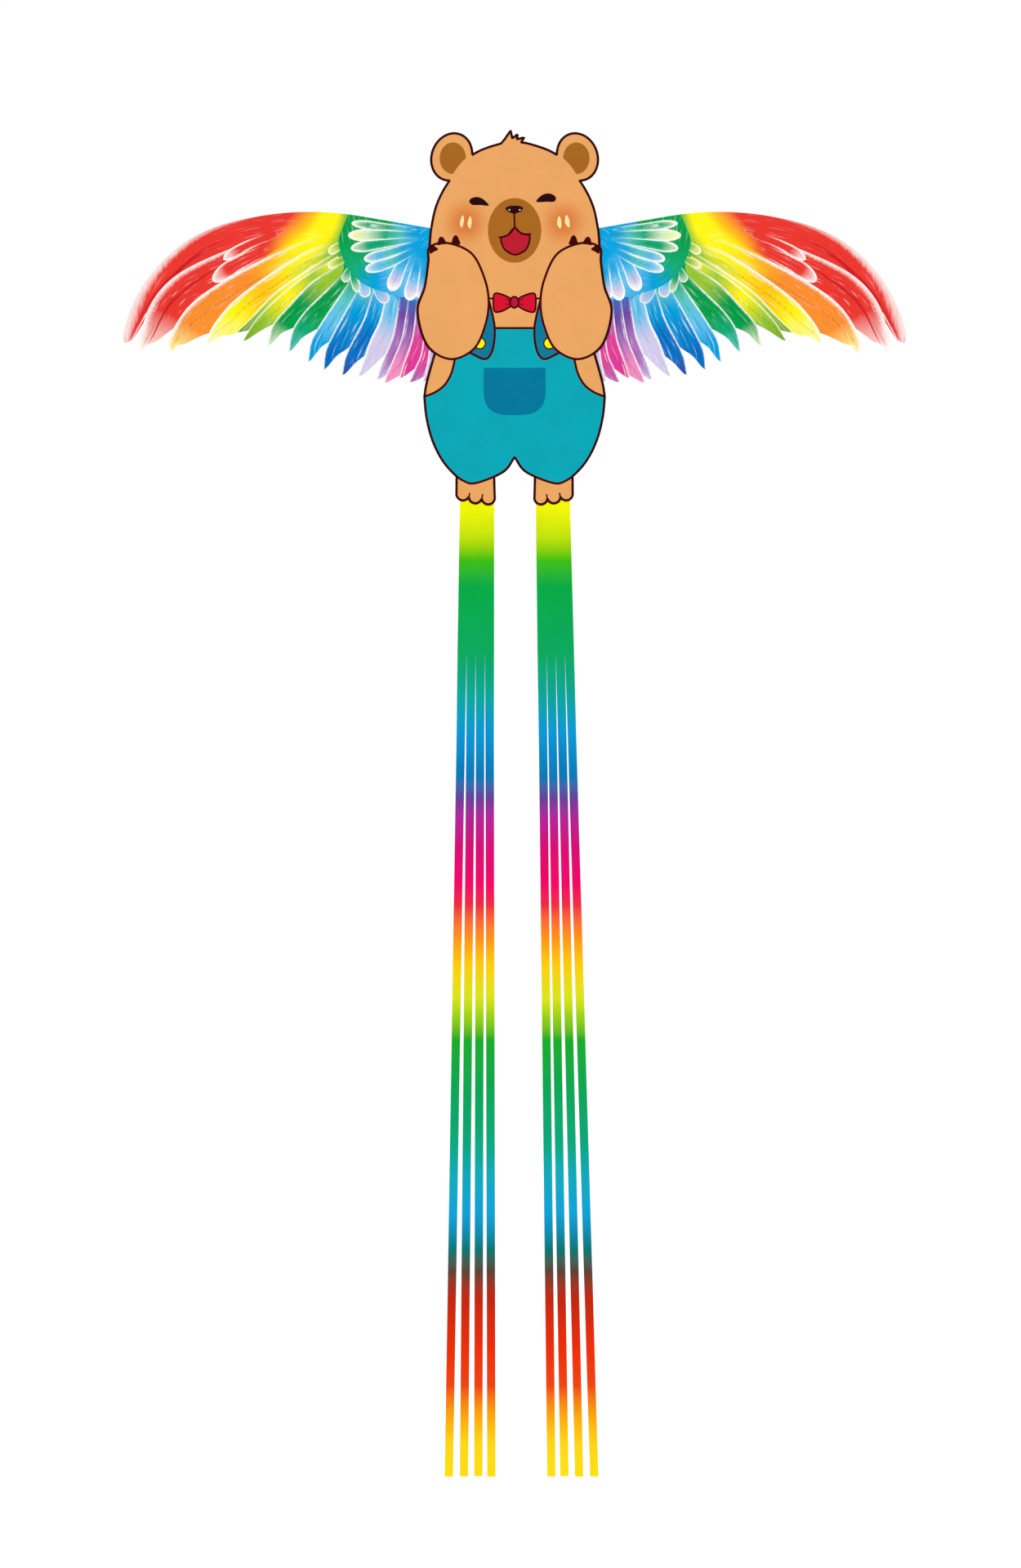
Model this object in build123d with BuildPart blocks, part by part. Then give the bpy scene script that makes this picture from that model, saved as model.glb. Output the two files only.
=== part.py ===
from build123d import *
import os
from math import cos, radians, sin, tan

# Bear-shaped figure kite with feathered wings and two slit ribbon tails, in millimetres.
# The origin is the tow point in the middle of the nose. The sail stands in the XZ plane with its
# printed front towards -Y, and +Z is up. "left" is the -X side, as seen by someone facing the front.

os.makedirs("parts", exist_ok=True)
SIDES = (("left", -1), ("right", 1))

# ---- cloth layers, front to back -------------------------------------------------------------------
CLOTH = 0.4  # thickness of every sheet of cloth
BODY_BACK = 0.2  # the back face of the body sail
BINDING_WIDTH = 3.8  # dark edge tape, half inside and half outside the drawn outline
BINDING_BACK = 0.4
WING_BACK = 1.1  # the wings hang behind the body sail and its edge tape
TAIL_BACK = 0.8

# ---- glass-fibre rods and what holds them ----------------------------------------------------------
ROD_R = 1.5
ROD_CHAMFER = 0.25
SLIP = 0.05  # radial clearance of a rod in a plastic fitting
ROD_Y = 3.2  # every rod lies in this plane behind the sails
FITTING_R = 2.9  # outside of the cross and tee connectors
SOCKET_START = 5.0  # from a connector's centre to the bottom of its socket
SOCKET_GAP = 0.3  # between the bottom of a socket and the rod pushed into it
CROSS_HALF_WIDTH = 18.0
CROSS_HALF_HEIGHT = 10.0
TEE_HALF_WIDTH = 10.0
TEE_LEG = 18.0
TEE_LEG_R = 2.7
MOUTH = 0.4  # chamfer at a connector's mouth
CAP_R = 2.05
CAP_LENGTH = 9.0
CAP_END = 1.5  # solid end of a cap
CAP_GAP = 0.2  # between a rod's end and the inside of its cap
POCKET_HALF_WIDTH = 6.5
POCKET_LENGTH = 19.0
POCKET_END = 3.0  # cloth beyond the bore
POCKET_SLACK = 0.5  # from the cap's end to the end of the bore, with the cap's own gap
POCKET_BORE_R = 2.2
POCKET_WALL = 0.5

SPINE_TOP = 92.0
SPINE_BOTTOM = -367.0
HEAD_SPAR_Z = 66.0
HEAD_SPAR_END = 112.0
WING_SPAR_Z = -33.0
WING_SPAR_END = 112.0
HIP_SPAR_Z = -290.0
HIP_SPAR_END = 129.0
LEG_X = 60.0
LEG_END = -430.0

# ---- wings -----------------------------------------------------------------------------------------
WING_HINGE_X = 118.0  # the seam that joins a wing to the body
WING_ROOT = 118.6
ROOT_TOP = -40.0
ROOT_BOTTOM = -236.0
NOTCH_X = 129.2  # the sail is cut back here to clear the rod's joint sleeve
LEAD_X, LEAD_Z = 130.0, -27.5  # where the leading edge comes out from behind the body
LEAD_STRAIGHT_X = 235.0  # it is straight up to here
LEAD_RISE = 9.7  # degrees
LEAD_ARCS = ((465.0, -16.4), (221.0, -79.5))  # radius, and heading in degrees at the arc's end
ROD_INSET = 3.4  # from the leading edge to the wing rod's axis
WING_ROD_START = 123.5
POCKET_START = 131.0
WING_POCKET_HEADING = -55.0  # where the leading-edge pocket ends
WING_ROD_HEADING = -59.0  # where the wing rod ends
SLEEVE_R = 2.5
SLEEVE_FROM, SLEEVE_TO = 105.0, 128.5
SLEEVE_BEND_R = 60.0
SEAM_TAPE_WIDTH = 10.0
SEAM_TAPE_SETBACK = 5.4  # from the hinge to the middle of the seam tape
SEAM_TAPE_SHORTER = 2.0  # than the seam
FEATHER_TIPS = (
    (595, -203), (566, -216), (527, -220), (468, -203), (418, -201), (378, -207), (345, -216),
    (316, -232), (293, -242), (265, -251), (239, -253), (210, -261), (177, -259), (159, -265), (138, -266),
)
SHOULDER = (190.0, -60.0)  # the feathers fan out from about here
FEATHER_NOTCH = 13.0

# ---- tails -----------------------------------------------------------------------------------------
TAIL_HINGE_Z = -455.6
SLIT_Z = -680.0
TAIL_END_Z = -1938.8
HINGE_GAP = 0.4
TAB_TOP = -436.0
STRIP_WIDTH = 13.0
HEADER_TOP = {"left": (-83.8, -31.2), "right": (32.5, 85.0)}
HEADER_BOTTOM = {"left": (-87.5, -31.3), "right": (35.0, 91.2)}
STRIP_TOPS = {"left": (-80.4, -66.4, -52.4, -38.4), "right": (42.1, 56.1, 70.1, 84.1)}
STRIP_ENDS = {"left": (-100.6, -77.5, -55.6, -35.6), "right": (56.3, 76.3, 98.8, 121.9)}

# ---- tow point -------------------------------------------------------------------------------------
EYELET_X = 8.0
EYELET_BORE_R = 1.1
EYELET_BARREL_R = 2.3
EYELET_FLANGE_R = 3.2
EYELET_FRONT, EYELET_BACK = -0.8, 1.0
TOW_PATCH_R = 17.0

# ---- outline of the bear, one half, through the middle of its edge tape ----------------------------
SPLINE_STEPS = 6  # spans in each redrawn curve
HEAD = ((0, 103), (-22.5, 101), (-64.9, 83.6), (-99.3, 44.8), (-118.8, 8.8), (-127.5, -28.8), (-130, -57.5))
EAR_CENTRE, EAR_RADII, EAR_TILT = (-96.2, 81.0), (30.6, 36.8), -20.0
ARM = (
    (-130, -57.5), (-103.8, -50.6), (-66.3, -66.3), (-46.4, -103.8), (-39.6, -141), (-45.4, -178.3),
    (-63, -213.5), (-98.3, -228.4), (-133.5, -207.3), (-148.4, -155.5), (-137.5, -118), (-132, -80),
)
FLANK = ((-112, -190), (-123.1, -223.8), (-134.5, -265), (-138, -286))
TROUSERS = (
    (-138, -286), (-135, -316), (-127, -349), (-113.4, -378.6), (-96.8, -400), (-78.5, -414.5),
    (-58.9, -418), (-17.5, -401), (0, -378.3),
)
INSTEP = ((-88.5, -400), (-88.9, -434), (-60, -440), (-30.5, -441), (-31.5, -400))
TOE_R = 10.0
TOES = ((-79, -434.6), (-60, -439.1), (-40.3, -440.8))
HAIR = (
    (-23.8, 98), (-16, 107), (-6, 121.3), (-3.6, 109.3), (5, 116), (3, 108),
    (15, 110.8), (8.8, 102), (16, 99), (0, 90),
)


def save(piece, node):
    piece.part.label = node
    export_step(piece.part, f"parts/{node}.step")


def sheet_plane(back):
    """The plane for a sheet whose back face is at y = back; it is extruded towards the front."""
    return Plane.XZ.offset(-back)


def rod_plane(x, z, direction):
    """A plane across a rod at (x, z), facing along it, with its second axis towards the back."""
    dx, dz = direction
    return Plane(origin=(x, ROD_Y, z), x_dir=(dz, 0, -dx), z_dir=(dx, 0, dz))


def lead_point(heading, inset=0.0):
    """A point on the leading edge, or inset from it, where it heads at this many degrees."""
    x = LEAD_STRAIGHT_X
    z = LEAD_Z + (LEAD_STRAIGHT_X - LEAD_X) * tan(radians(LEAD_RISE))
    start = LEAD_RISE
    for radius, end in LEAD_ARCS:
        centre_x = x + radius * sin(radians(start))
        centre_z = z - radius * cos(radians(start))
        stop = max(heading, end)
        x = centre_x - radius * sin(radians(stop))
        z = centre_z + radius * cos(radians(stop))
        if heading >= end:
            break
        start = end
    return (x + inset * sin(radians(stop)), z - inset * cos(radians(stop)))


def lead_straight(x, inset=0.0):
    """A point on the straight root stretch of the leading edge, inset from it."""
    rise = radians(LEAD_RISE)
    return (x, LEAD_Z + (x - LEAD_X) * tan(rise) - inset / cos(rise))


def lead_line(sign, start, last_heading, inset=0.0):
    """The leading edge, or a line inset from it: a straight run and two tangent arcs."""
    points = [start, lead_point(LEAD_RISE, inset)]
    bends = (LEAD_RISE, LEAD_ARCS[0][1], last_heading)
    for first, last in zip(bends, bends[1:]):
        points.append(lead_point((first + last) / 2, inset))
        points.append(lead_point(last, inset))
    points = [(sign * x, z) for x, z in points]
    Line(points[0], points[1])
    ThreePointArc(points[1], points[2], points[3])
    ThreePointArc(points[3], points[4], points[5])
    return points[-1]


# ---- the bear's outline ----------------------------------------------------------------------------
with BuildSketch(Plane.XZ) as outline:
    with BuildLine():
        Spline(*HEAD, tangents=[(-1, 0), (0, -1)])
        Polyline(HEAD[-1], (0, HEAD[-1][1]), HEAD[0])
    make_face()
    with BuildLine():
        Spline(*ARM, periodic=True)
    make_face()
    with BuildLine():
        Spline(*FLANK)
        Spline(*TROUSERS)
        Polyline(TROUSERS[-1], (0, HEAD[-1][1]), (FLANK[0][0], HEAD[-1][1]), FLANK[0])
    make_face()
    with BuildLine():
        Polyline(*INSTEP, close=True)
    make_face()
    with Locations(*TOES):
        Circle(TOE_R)
    with Locations(EAR_CENTRE):
        Ellipse(*EAR_RADII, rotation=EAR_TILT)
    mirror(about=Plane.YZ)
    with BuildLine():
        Polyline(*HAIR, close=True)
    make_face()


def outline_offset(distance):
    """The outline moved outwards by a distance, with its offset curves redrawn as splines."""
    with BuildSketch() as moved:
        add(outline.sketch_local)
        offset(amount=distance, kind=Kind.ARC)
    with BuildSketch() as redrawn:
        with BuildLine():
            for edge in moved.sketch.face().outer_wire().edges():
                if edge.geom_type == GeomType.OFFSET:
                    stops = [edge @ (step / SPLINE_STEPS) for step in range(SPLINE_STEPS + 1)]
                    Spline(*stops, tangents=[edge % 0, edge % 1])
                else:
                    add(edge)
        make_face()
    return redrawn.sketch


tape_outside = outline_offset(BINDING_WIDTH / 2)
tape_inside = outline_offset(-BINDING_WIDTH / 2)

# ---- body sail, its edge tape and the tow point ----------------------------------------------------
with BuildPart() as body_sail:
    with BuildSketch(sheet_plane(BODY_BACK)):
        add(tape_inside)
        with Locations((-EYELET_X, 0), (EYELET_X, 0)):
            Circle(EYELET_BARREL_R, mode=Mode.SUBTRACT)
    extrude(amount=CLOTH)
save(body_sail, "body_sail")

with BuildPart() as edge_binding:
    with BuildSketch(sheet_plane(BINDING_BACK)):
        add(tape_outside)
        add(tape_inside, mode=Mode.SUBTRACT)
    extrude(amount=2 * BINDING_BACK)
save(edge_binding, "edge_binding")

with BuildPart() as tow_patch:
    with BuildSketch(sheet_plane(BODY_BACK + CLOTH)):
        Circle(TOW_PATCH_R)
        with Locations((-EYELET_X, 0), (EYELET_X, 0)):
            Circle(EYELET_BARREL_R, mode=Mode.SUBTRACT)
    extrude(amount=CLOTH)
save(tow_patch, "tow_patch")

with BuildPart() as tow_eyelets:
    with BuildSketch(sheet_plane(EYELET_BACK)):
        with Locations((-EYELET_X, 0), (EYELET_X, 0)):
            Circle(EYELET_BARREL_R)
    extrude(amount=EYELET_BACK - EYELET_FRONT)
    flange = EYELET_BACK - BODY_BACK - CLOTH
    for back, thickness in ((EYELET_BACK, flange), (BODY_BACK - CLOTH, -EYELET_FRONT - BODY_BACK)):
        with BuildSketch(sheet_plane(back)):
            with Locations((-EYELET_X, 0), (EYELET_X, 0)):
                Circle(EYELET_FLANGE_R)
        extrude(amount=thickness)
    with BuildSketch(sheet_plane(EYELET_BACK)):
        with Locations((-EYELET_X, 0), (EYELET_X, 0)):
            Circle(EYELET_BORE_R)
    extrude(amount=EYELET_BACK - EYELET_FRONT, mode=Mode.SUBTRACT)
save(tow_eyelets, "tow_eyelets")

# ---- frame rods ------------------------------------------------------------------------------------


def straight_rod(node, start, end):
    """A glass-fibre rod from start to end, both (x, z)."""
    run = Vector(end[0] - start[0], end[1] - start[1])
    direction = (run.X / run.length, run.Y / run.length)
    with BuildPart() as rod:
        with BuildSketch(rod_plane(*start, direction)):
            Circle(ROD_R)
        extrude(amount=run.length)
        chamfer(rod.edges().filter_by(GeomType.CIRCLE), ROD_CHAMFER)
    save(rod, node)


straight_rod("spine", (0, SPINE_TOP), (0, SPINE_BOTTOM))
ROD_START = SOCKET_START + SOCKET_GAP  # from a connector's centre
SPARS = (
    ("head_spar", HEAD_SPAR_Z, HEAD_SPAR_END),
    ("centre_spar", WING_SPAR_Z, WING_SPAR_END),
    ("hip_spar", HIP_SPAR_Z, HIP_SPAR_END),
)
for side, sign in SIDES:
    for spar, z, end in SPARS:
        straight_rod(f"{side}_{spar}", (sign * ROD_START, z), (sign * end, z))
    straight_rod(f"{side}_leg_batten", (sign * LEG_X, HIP_SPAR_Z - ROD_START), (sign * LEG_X, LEG_END))

# ---- moulded connectors ----------------------------------------------------------------------------
CROSSINGS = (
    ("head_connector", HEAD_SPAR_Z), ("wing_connector", WING_SPAR_Z), ("hip_connector", HIP_SPAR_Z),
)
for node, z in CROSSINGS:
    with BuildPart() as cross:
        with BuildSketch(Plane.XY.offset(z - CROSS_HALF_HEIGHT)):
            with Locations((0, ROD_Y)):
                Circle(FITTING_R)
        extrude(amount=2 * CROSS_HALF_HEIGHT)
        with BuildSketch(Plane.YZ.offset(-CROSS_HALF_WIDTH)):
            with Locations((ROD_Y, z)):
                Circle(FITTING_R)
        extrude(amount=2 * CROSS_HALF_WIDTH)
        with BuildSketch(Plane.XY.offset(z - CROSS_HALF_HEIGHT)):
            with Locations((0, ROD_Y)):
                Circle(ROD_R + SLIP)
        extrude(amount=2 * CROSS_HALF_HEIGHT, mode=Mode.SUBTRACT)
        for start in (-CROSS_HALF_WIDTH, SOCKET_START):
            with BuildSketch(Plane.YZ.offset(start)):
                with Locations((ROD_Y, z)):
                    Circle(ROD_R + SLIP)
            extrude(amount=CROSS_HALF_WIDTH - SOCKET_START, mode=Mode.SUBTRACT)
        ends = cross.faces().filter_by(Axis.X).sort_by(Axis.X)
        chamfer([ends[0].outer_wire().edges(), ends[-1].outer_wire().edges()], MOUTH)
    save(cross, node)

for side, sign in SIDES:
    with BuildPart() as tee:
        with BuildSketch(Plane.YZ.offset(sign * LEG_X - TEE_HALF_WIDTH)):
            with Locations((ROD_Y, HIP_SPAR_Z)):
                Circle(FITTING_R)
        extrude(amount=2 * TEE_HALF_WIDTH)
        with BuildSketch(Plane.XY.offset(HIP_SPAR_Z - TEE_LEG)):
            with Locations((sign * LEG_X, ROD_Y)):
                Circle(TEE_LEG_R)
        extrude(amount=TEE_LEG)
        with BuildSketch(Plane.YZ.offset(sign * LEG_X - TEE_HALF_WIDTH)):
            with Locations((ROD_Y, HIP_SPAR_Z)):
                Circle(ROD_R + SLIP)
        extrude(amount=2 * TEE_HALF_WIDTH, mode=Mode.SUBTRACT)
        with BuildSketch(Plane.XY.offset(HIP_SPAR_Z - TEE_LEG)):
            with Locations((sign * LEG_X, ROD_Y)):
                Circle(ROD_R + SLIP)
        extrude(amount=TEE_LEG - SOCKET_START, mode=Mode.SUBTRACT)
        chamfer(tee.faces().sort_by(Axis.Z)[0].outer_wire().edges(), MOUTH)
    save(tee, f"{side}_leg_connector")

# ---- rod ends: vinyl caps in sewn cloth pockets ----------------------------------------------------
ROD_ENDS = [("spine_top_pocket", (0, SPINE_TOP), (0, 1)), ("spine_bottom_pocket", (0, SPINE_BOTTOM), (0, -1))]
for side, sign in SIDES:
    ROD_ENDS.append((f"{side}_ear_pocket", (sign * HEAD_SPAR_END, HEAD_SPAR_Z), (sign, 0)))
    ROD_ENDS.append((f"{side}_hip_pocket", (sign * HIP_SPAR_END, HIP_SPAR_Z), (sign, 0)))
    ROD_ENDS.append((f"{side}_foot_pocket", (sign * LEG_X, LEG_END), (0, -1)))


def along(point, direction, distance):
    return (point[0] + distance * direction[0], point[1] + distance * direction[1])


with BuildPart() as rod_end_caps:
    for node, end, direction in ROD_ENDS:
        mouth = along(end, direction, CAP_END + CAP_GAP - CAP_LENGTH)
        with BuildSketch(rod_plane(*mouth, direction)):
            Circle(CAP_R)
        extrude(amount=CAP_LENGTH)
        with BuildSketch(rod_plane(*mouth, direction)):
            Circle(ROD_R + SLIP)
        extrude(amount=CAP_LENGTH - CAP_END, mode=Mode.SUBTRACT)
save(rod_end_caps, "rod_end_caps")

for node, end, direction in ROD_ENDS:
    mouth = along(end, direction, POCKET_END + CAP_END + POCKET_SLACK - POCKET_LENGTH)
    base = BODY_BACK - ROD_Y
    crown = POCKET_BORE_R + POCKET_WALL
    with BuildPart() as pocket:
        with BuildSketch(rod_plane(*mouth, direction)):
            with BuildLine():
                Polyline(
                    (-POCKET_HALF_WIDTH, base), (POCKET_HALF_WIDTH, base),
                    (POCKET_HALF_WIDTH, base + 2 * CLOTH), (crown, 0.0),
                    (-crown, 0.0), (-POCKET_HALF_WIDTH, base + 2 * CLOTH), close=True,
                )
            make_face()
            Circle(crown)
        extrude(amount=POCKET_LENGTH)
        with BuildSketch(rod_plane(*mouth, direction)):
            Circle(POCKET_BORE_R)
        extrude(amount=POCKET_LENGTH - POCKET_END, mode=Mode.SUBTRACT)
    save(pocket, node)

# ---- wings -----------------------------------------------------------------------------------------


def feather_edge():
    """The trailing edge from the wing tip to the root: feather tips with a notch between each pair."""
    points = [FEATHER_TIPS[0]]
    for first, second in zip(FEATHER_TIPS, FEATHER_TIPS[1:]):
        middle = Vector((first[0] + second[0]) / 2, (first[1] + second[1]) / 2)
        inward = (Vector(*SHOULDER) - middle).normalized() * FEATHER_NOTCH
        points += [(middle.X + inward.X, middle.Y + inward.Y), second]
    return points


for side, sign in SIDES:
    with BuildPart() as wing_sail:
        with BuildSketch(sheet_plane(WING_BACK)):
            with BuildLine():
                tip = lead_line(sign, lead_straight(NOTCH_X), LEAD_ARCS[-1][1])
                trailing = [(sign * x, z) for x, z in feather_edge()]
                notch = (NOTCH_X, ROOT_TOP)
                root = ((WING_ROOT, ROOT_BOTTOM), (WING_ROOT, ROOT_TOP), notch, lead_straight(NOTCH_X))
                Polyline(tip, *trailing, *[(sign * x, z) for x, z in root])
            make_face()
        extrude(amount=CLOTH)
    save(wing_sail, f"{side}_wing_sail")

    with BuildLine(sheet_plane(ROD_Y)) as rod_line:
        lead_line(sign, lead_straight(WING_ROD_START, ROD_INSET), WING_ROD_HEADING, ROD_INSET)
    with BuildPart() as wing_rod:
        with BuildSketch(Plane(origin=rod_line.line @ 0, z_dir=rod_line.line % 0)):
            Circle(ROD_R)
        sweep(path=rod_line.line)
    save(wing_rod, f"{side}_wing_rod")

    with BuildLine(sheet_plane(ROD_Y)) as pocket_line:
        lead_line(sign, lead_straight(POCKET_START, ROD_INSET), WING_POCKET_HEADING, ROD_INSET)
    with BuildPart() as wing_pocket:
        with BuildSketch(Plane(origin=pocket_line.line @ 0, z_dir=pocket_line.line % 0)):
            Circle(ROD_Y - WING_BACK)
            Circle(ROD_R + 2 * SLIP, mode=Mode.SUBTRACT)
        sweep(path=pocket_line.line)
    save(wing_pocket, f"{side}_wing_pocket")

    tip_x, tip_z = lead_point(WING_ROD_HEADING, ROD_INSET)
    heading = (sign * cos(radians(WING_ROD_HEADING)), sin(radians(WING_ROD_HEADING)))
    with BuildPart() as tip_cap:
        with BuildSketch(rod_plane(*along((sign * tip_x, tip_z), heading, -CAP_END), heading)):
            Circle(CAP_R)
        extrude(amount=2 * CAP_END + CAP_GAP)
        with BuildSketch(rod_plane(*along((sign * tip_x, tip_z), heading, -CAP_END), heading)):
            Circle(ROD_R + 2 * SLIP)
        extrude(amount=CAP_END + CAP_GAP / 2, mode=Mode.SUBTRACT)
    save(tip_cap, f"{side}_wing_tip_cap")

    bend_z = lead_straight(WING_HINGE_X, ROD_INSET)[1]
    with BuildLine(sheet_plane(ROD_Y)) as sleeve_line:
        FilletPolyline(
            (sign * SLEEVE_FROM, bend_z),
            (sign * WING_HINGE_X, bend_z),
            (sign * SLEEVE_TO, lead_straight(SLEEVE_TO, ROD_INSET)[1]),
            radius=SLEEVE_BEND_R,
        )
    with BuildPart() as joint_sleeve:
        with BuildSketch(Plane(origin=sleeve_line.line @ 0, z_dir=sleeve_line.line % 0)):
            Circle(SLEEVE_R)
            Circle(ROD_R + SLIP, mode=Mode.SUBTRACT)
        sweep(path=sleeve_line.line)
    save(joint_sleeve, f"{side}_joint_sleeve")

    with BuildPart() as seam_tape:
        with BuildSketch(sheet_plane(BODY_BACK + CLOTH)):
            with Locations((sign * (WING_HINGE_X - SEAM_TAPE_SETBACK), (ROOT_TOP + ROOT_BOTTOM) / 2)):
                Rectangle(SEAM_TAPE_WIDTH, ROOT_TOP - ROOT_BOTTOM - SEAM_TAPE_SHORTER)
        extrude(amount=CLOTH)
    save(seam_tape, f"{side}_seam_tape")

# ---- tails -----------------------------------------------------------------------------------------


def ribbon(node, top, top_z, bottom, bottom_z):
    """A flat ribbon between a top edge and a bottom edge, each given as (low x, high x)."""
    with BuildPart() as piece:
        with BuildSketch(sheet_plane(TAIL_BACK)):
            with BuildLine():
                Polyline(
                    (top[0], top_z), (top[1], top_z), (bottom[1], bottom_z), (bottom[0], bottom_z), close=True
                )
            make_face()
        extrude(amount=CLOTH)
    save(piece, node)


def strip_edges(centre):
    return (centre - STRIP_WIDTH / 2, centre + STRIP_WIDTH / 2)


for side, sign in SIDES:
    top = HEADER_TOP[side]
    ribbon(f"{side}_tail_tab", top, TAB_TOP, top, TAIL_HINGE_Z + HINGE_GAP)
    ribbon(f"{side}_tail_header", top, TAIL_HINGE_Z - HINGE_GAP, HEADER_BOTTOM[side], SLIT_Z + HINGE_GAP)
    for number, (upper, lower) in enumerate(zip(STRIP_TOPS[side], STRIP_ENDS[side]), 1):
        strip = f"{side}_tail_strip_{number}"
        ribbon(strip, strip_edges(upper), SLIT_Z - HINGE_GAP, strip_edges(lower), TAIL_END_Z)
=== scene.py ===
from math import cos, pi, radians, sin, sqrt, tan
import bpy
import numpy as np
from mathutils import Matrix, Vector
from mathutils.geometry import delaunay_2d_cdt
from mathutils.kdtree import KDTree


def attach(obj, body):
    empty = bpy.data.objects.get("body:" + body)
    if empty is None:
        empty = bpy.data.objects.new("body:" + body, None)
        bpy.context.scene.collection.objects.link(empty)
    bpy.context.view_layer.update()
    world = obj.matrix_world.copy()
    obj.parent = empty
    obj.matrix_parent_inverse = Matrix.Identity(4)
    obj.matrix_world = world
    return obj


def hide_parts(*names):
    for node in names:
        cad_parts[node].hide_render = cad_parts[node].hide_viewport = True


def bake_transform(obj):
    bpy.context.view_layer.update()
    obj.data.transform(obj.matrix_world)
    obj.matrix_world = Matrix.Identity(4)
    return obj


# Bear-shaped figure kite. Artwork and cloth are laid out in millimetres in the plane of the sail, as
# (x, z) with the tow point at the origin, and become metres when a mesh is made.
MM = 0.001
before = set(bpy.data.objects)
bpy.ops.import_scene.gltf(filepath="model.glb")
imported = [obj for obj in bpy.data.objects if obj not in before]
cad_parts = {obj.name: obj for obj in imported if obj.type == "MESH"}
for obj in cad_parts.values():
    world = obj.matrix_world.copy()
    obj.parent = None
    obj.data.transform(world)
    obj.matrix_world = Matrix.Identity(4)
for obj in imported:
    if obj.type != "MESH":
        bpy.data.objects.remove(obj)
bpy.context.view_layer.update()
SIDES = (("left", -1), ("right", 1))

# ---- camera, light and stage -----------------------------------------------------------------------
VIEW_HEIGHT = 2.4  # metres of the kite's plane from the top to the bottom of the picture
VIEW_CENTRE = (-0.00625, -0.87875)
LENS = 120.0
SENSOR = 36.0
FLOOR_Z, FLOOR_REACH = -2.35, 80.0
LIGHT_SIZE = 3.0
LIGHTS = (  # name, place, what it points at, watts
    ("key", (-2.2, -5.0, 2.6), (0, 0, -0.8), 57.0),
    ("fill", (2.8, -4.5, -0.5), (0, 0, -0.9), 22.0),
    ("back", (1.5, 4.5, 1.8), (0, 0, -0.6), 50.0),
)
WALL_GLOW, ROOM_GLOW, FLOOR_GLOW = 1.02, 0.69, 0.28


def add_camera():
    data = bpy.data.cameras.new("camera")
    data.lens = LENS
    data.sensor_width = SENSOR
    camera = bpy.data.objects.new("camera", data)
    distance = VIEW_HEIGHT * LENS / SENSOR
    camera.location = (VIEW_CENTRE[0], -distance, VIEW_CENTRE[1])
    camera.rotation_euler = (radians(90), 0, 0)
    bpy.context.collection.objects.link(camera)
    bpy.context.scene.camera = camera


def add_light(name, place, target, power):
    data = bpy.data.lights.new(name, "AREA")
    data.shape = "DISK"
    data.size = LIGHT_SIZE
    data.energy = power
    lamp = bpy.data.objects.new(name, data)
    lamp.location = place
    lamp.rotation_euler = (Vector(target) - Vector(place)).to_track_quat("-Z", "Y").to_euler()
    bpy.context.collection.objects.link(lamp)


def add_world():
    """A white studio, brightest on the wall behind the kite."""
    world = bpy.data.worlds.new("studio")
    bpy.context.scene.world = world
    world.use_nodes = True
    tree = world.node_tree
    tree.nodes["Background"].inputs["Color"].default_value = (1, 1, 1, 1)
    where = tree.nodes.new("ShaderNodeTexCoord")
    split = tree.nodes.new("ShaderNodeSeparateXYZ")
    ranged = tree.nodes.new("ShaderNodeMapRange")
    ranged.interpolation_type = "SMOOTHSTEP"
    for name, value in (("From Min", -0.3), ("From Max", 0.7), ("To Min", ROOM_GLOW), ("To Max", WALL_GLOW)):
        ranged.inputs[name].default_value = value
    tree.links.new(where.outputs["Generated"], split.inputs[0])
    tree.links.new(split.outputs[1], ranged.inputs["Value"])
    tree.links.new(ranged.outputs[0], tree.nodes["Background"].inputs["Strength"])


def add_floor():
    mesh = bpy.data.meshes.new("floor")
    corners = ((-1, -1), (1, -1), (1, 1), (-1, 1))
    mesh.from_pydata([(x * FLOOR_REACH, y * FLOOR_REACH, FLOOR_Z) for x, y in corners], [], [(0, 1, 2, 3)])
    floor = bpy.data.objects.new("floor", mesh)
    bpy.context.collection.objects.link(floor)
    material = bpy.data.materials.new("floor_paper")
    material.use_nodes = True
    for name, value in (
        ("Base Color", (0.93, 0.93, 0.93, 1)), ("Roughness", 1.0), ("Specular IOR Level", 0.0),
        ("Emission Color", (1, 1, 1, 1)), ("Emission Strength", FLOOR_GLOW),
    ):
        material.node_tree.nodes["Principled BSDF"].inputs[name].default_value = value
    mesh.materials.append(material)


add_camera()
add_world()
for light in LIGHTS:
    add_light(*light)
add_floor()
bpy.context.scene.view_settings.view_transform = "Standard"


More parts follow.
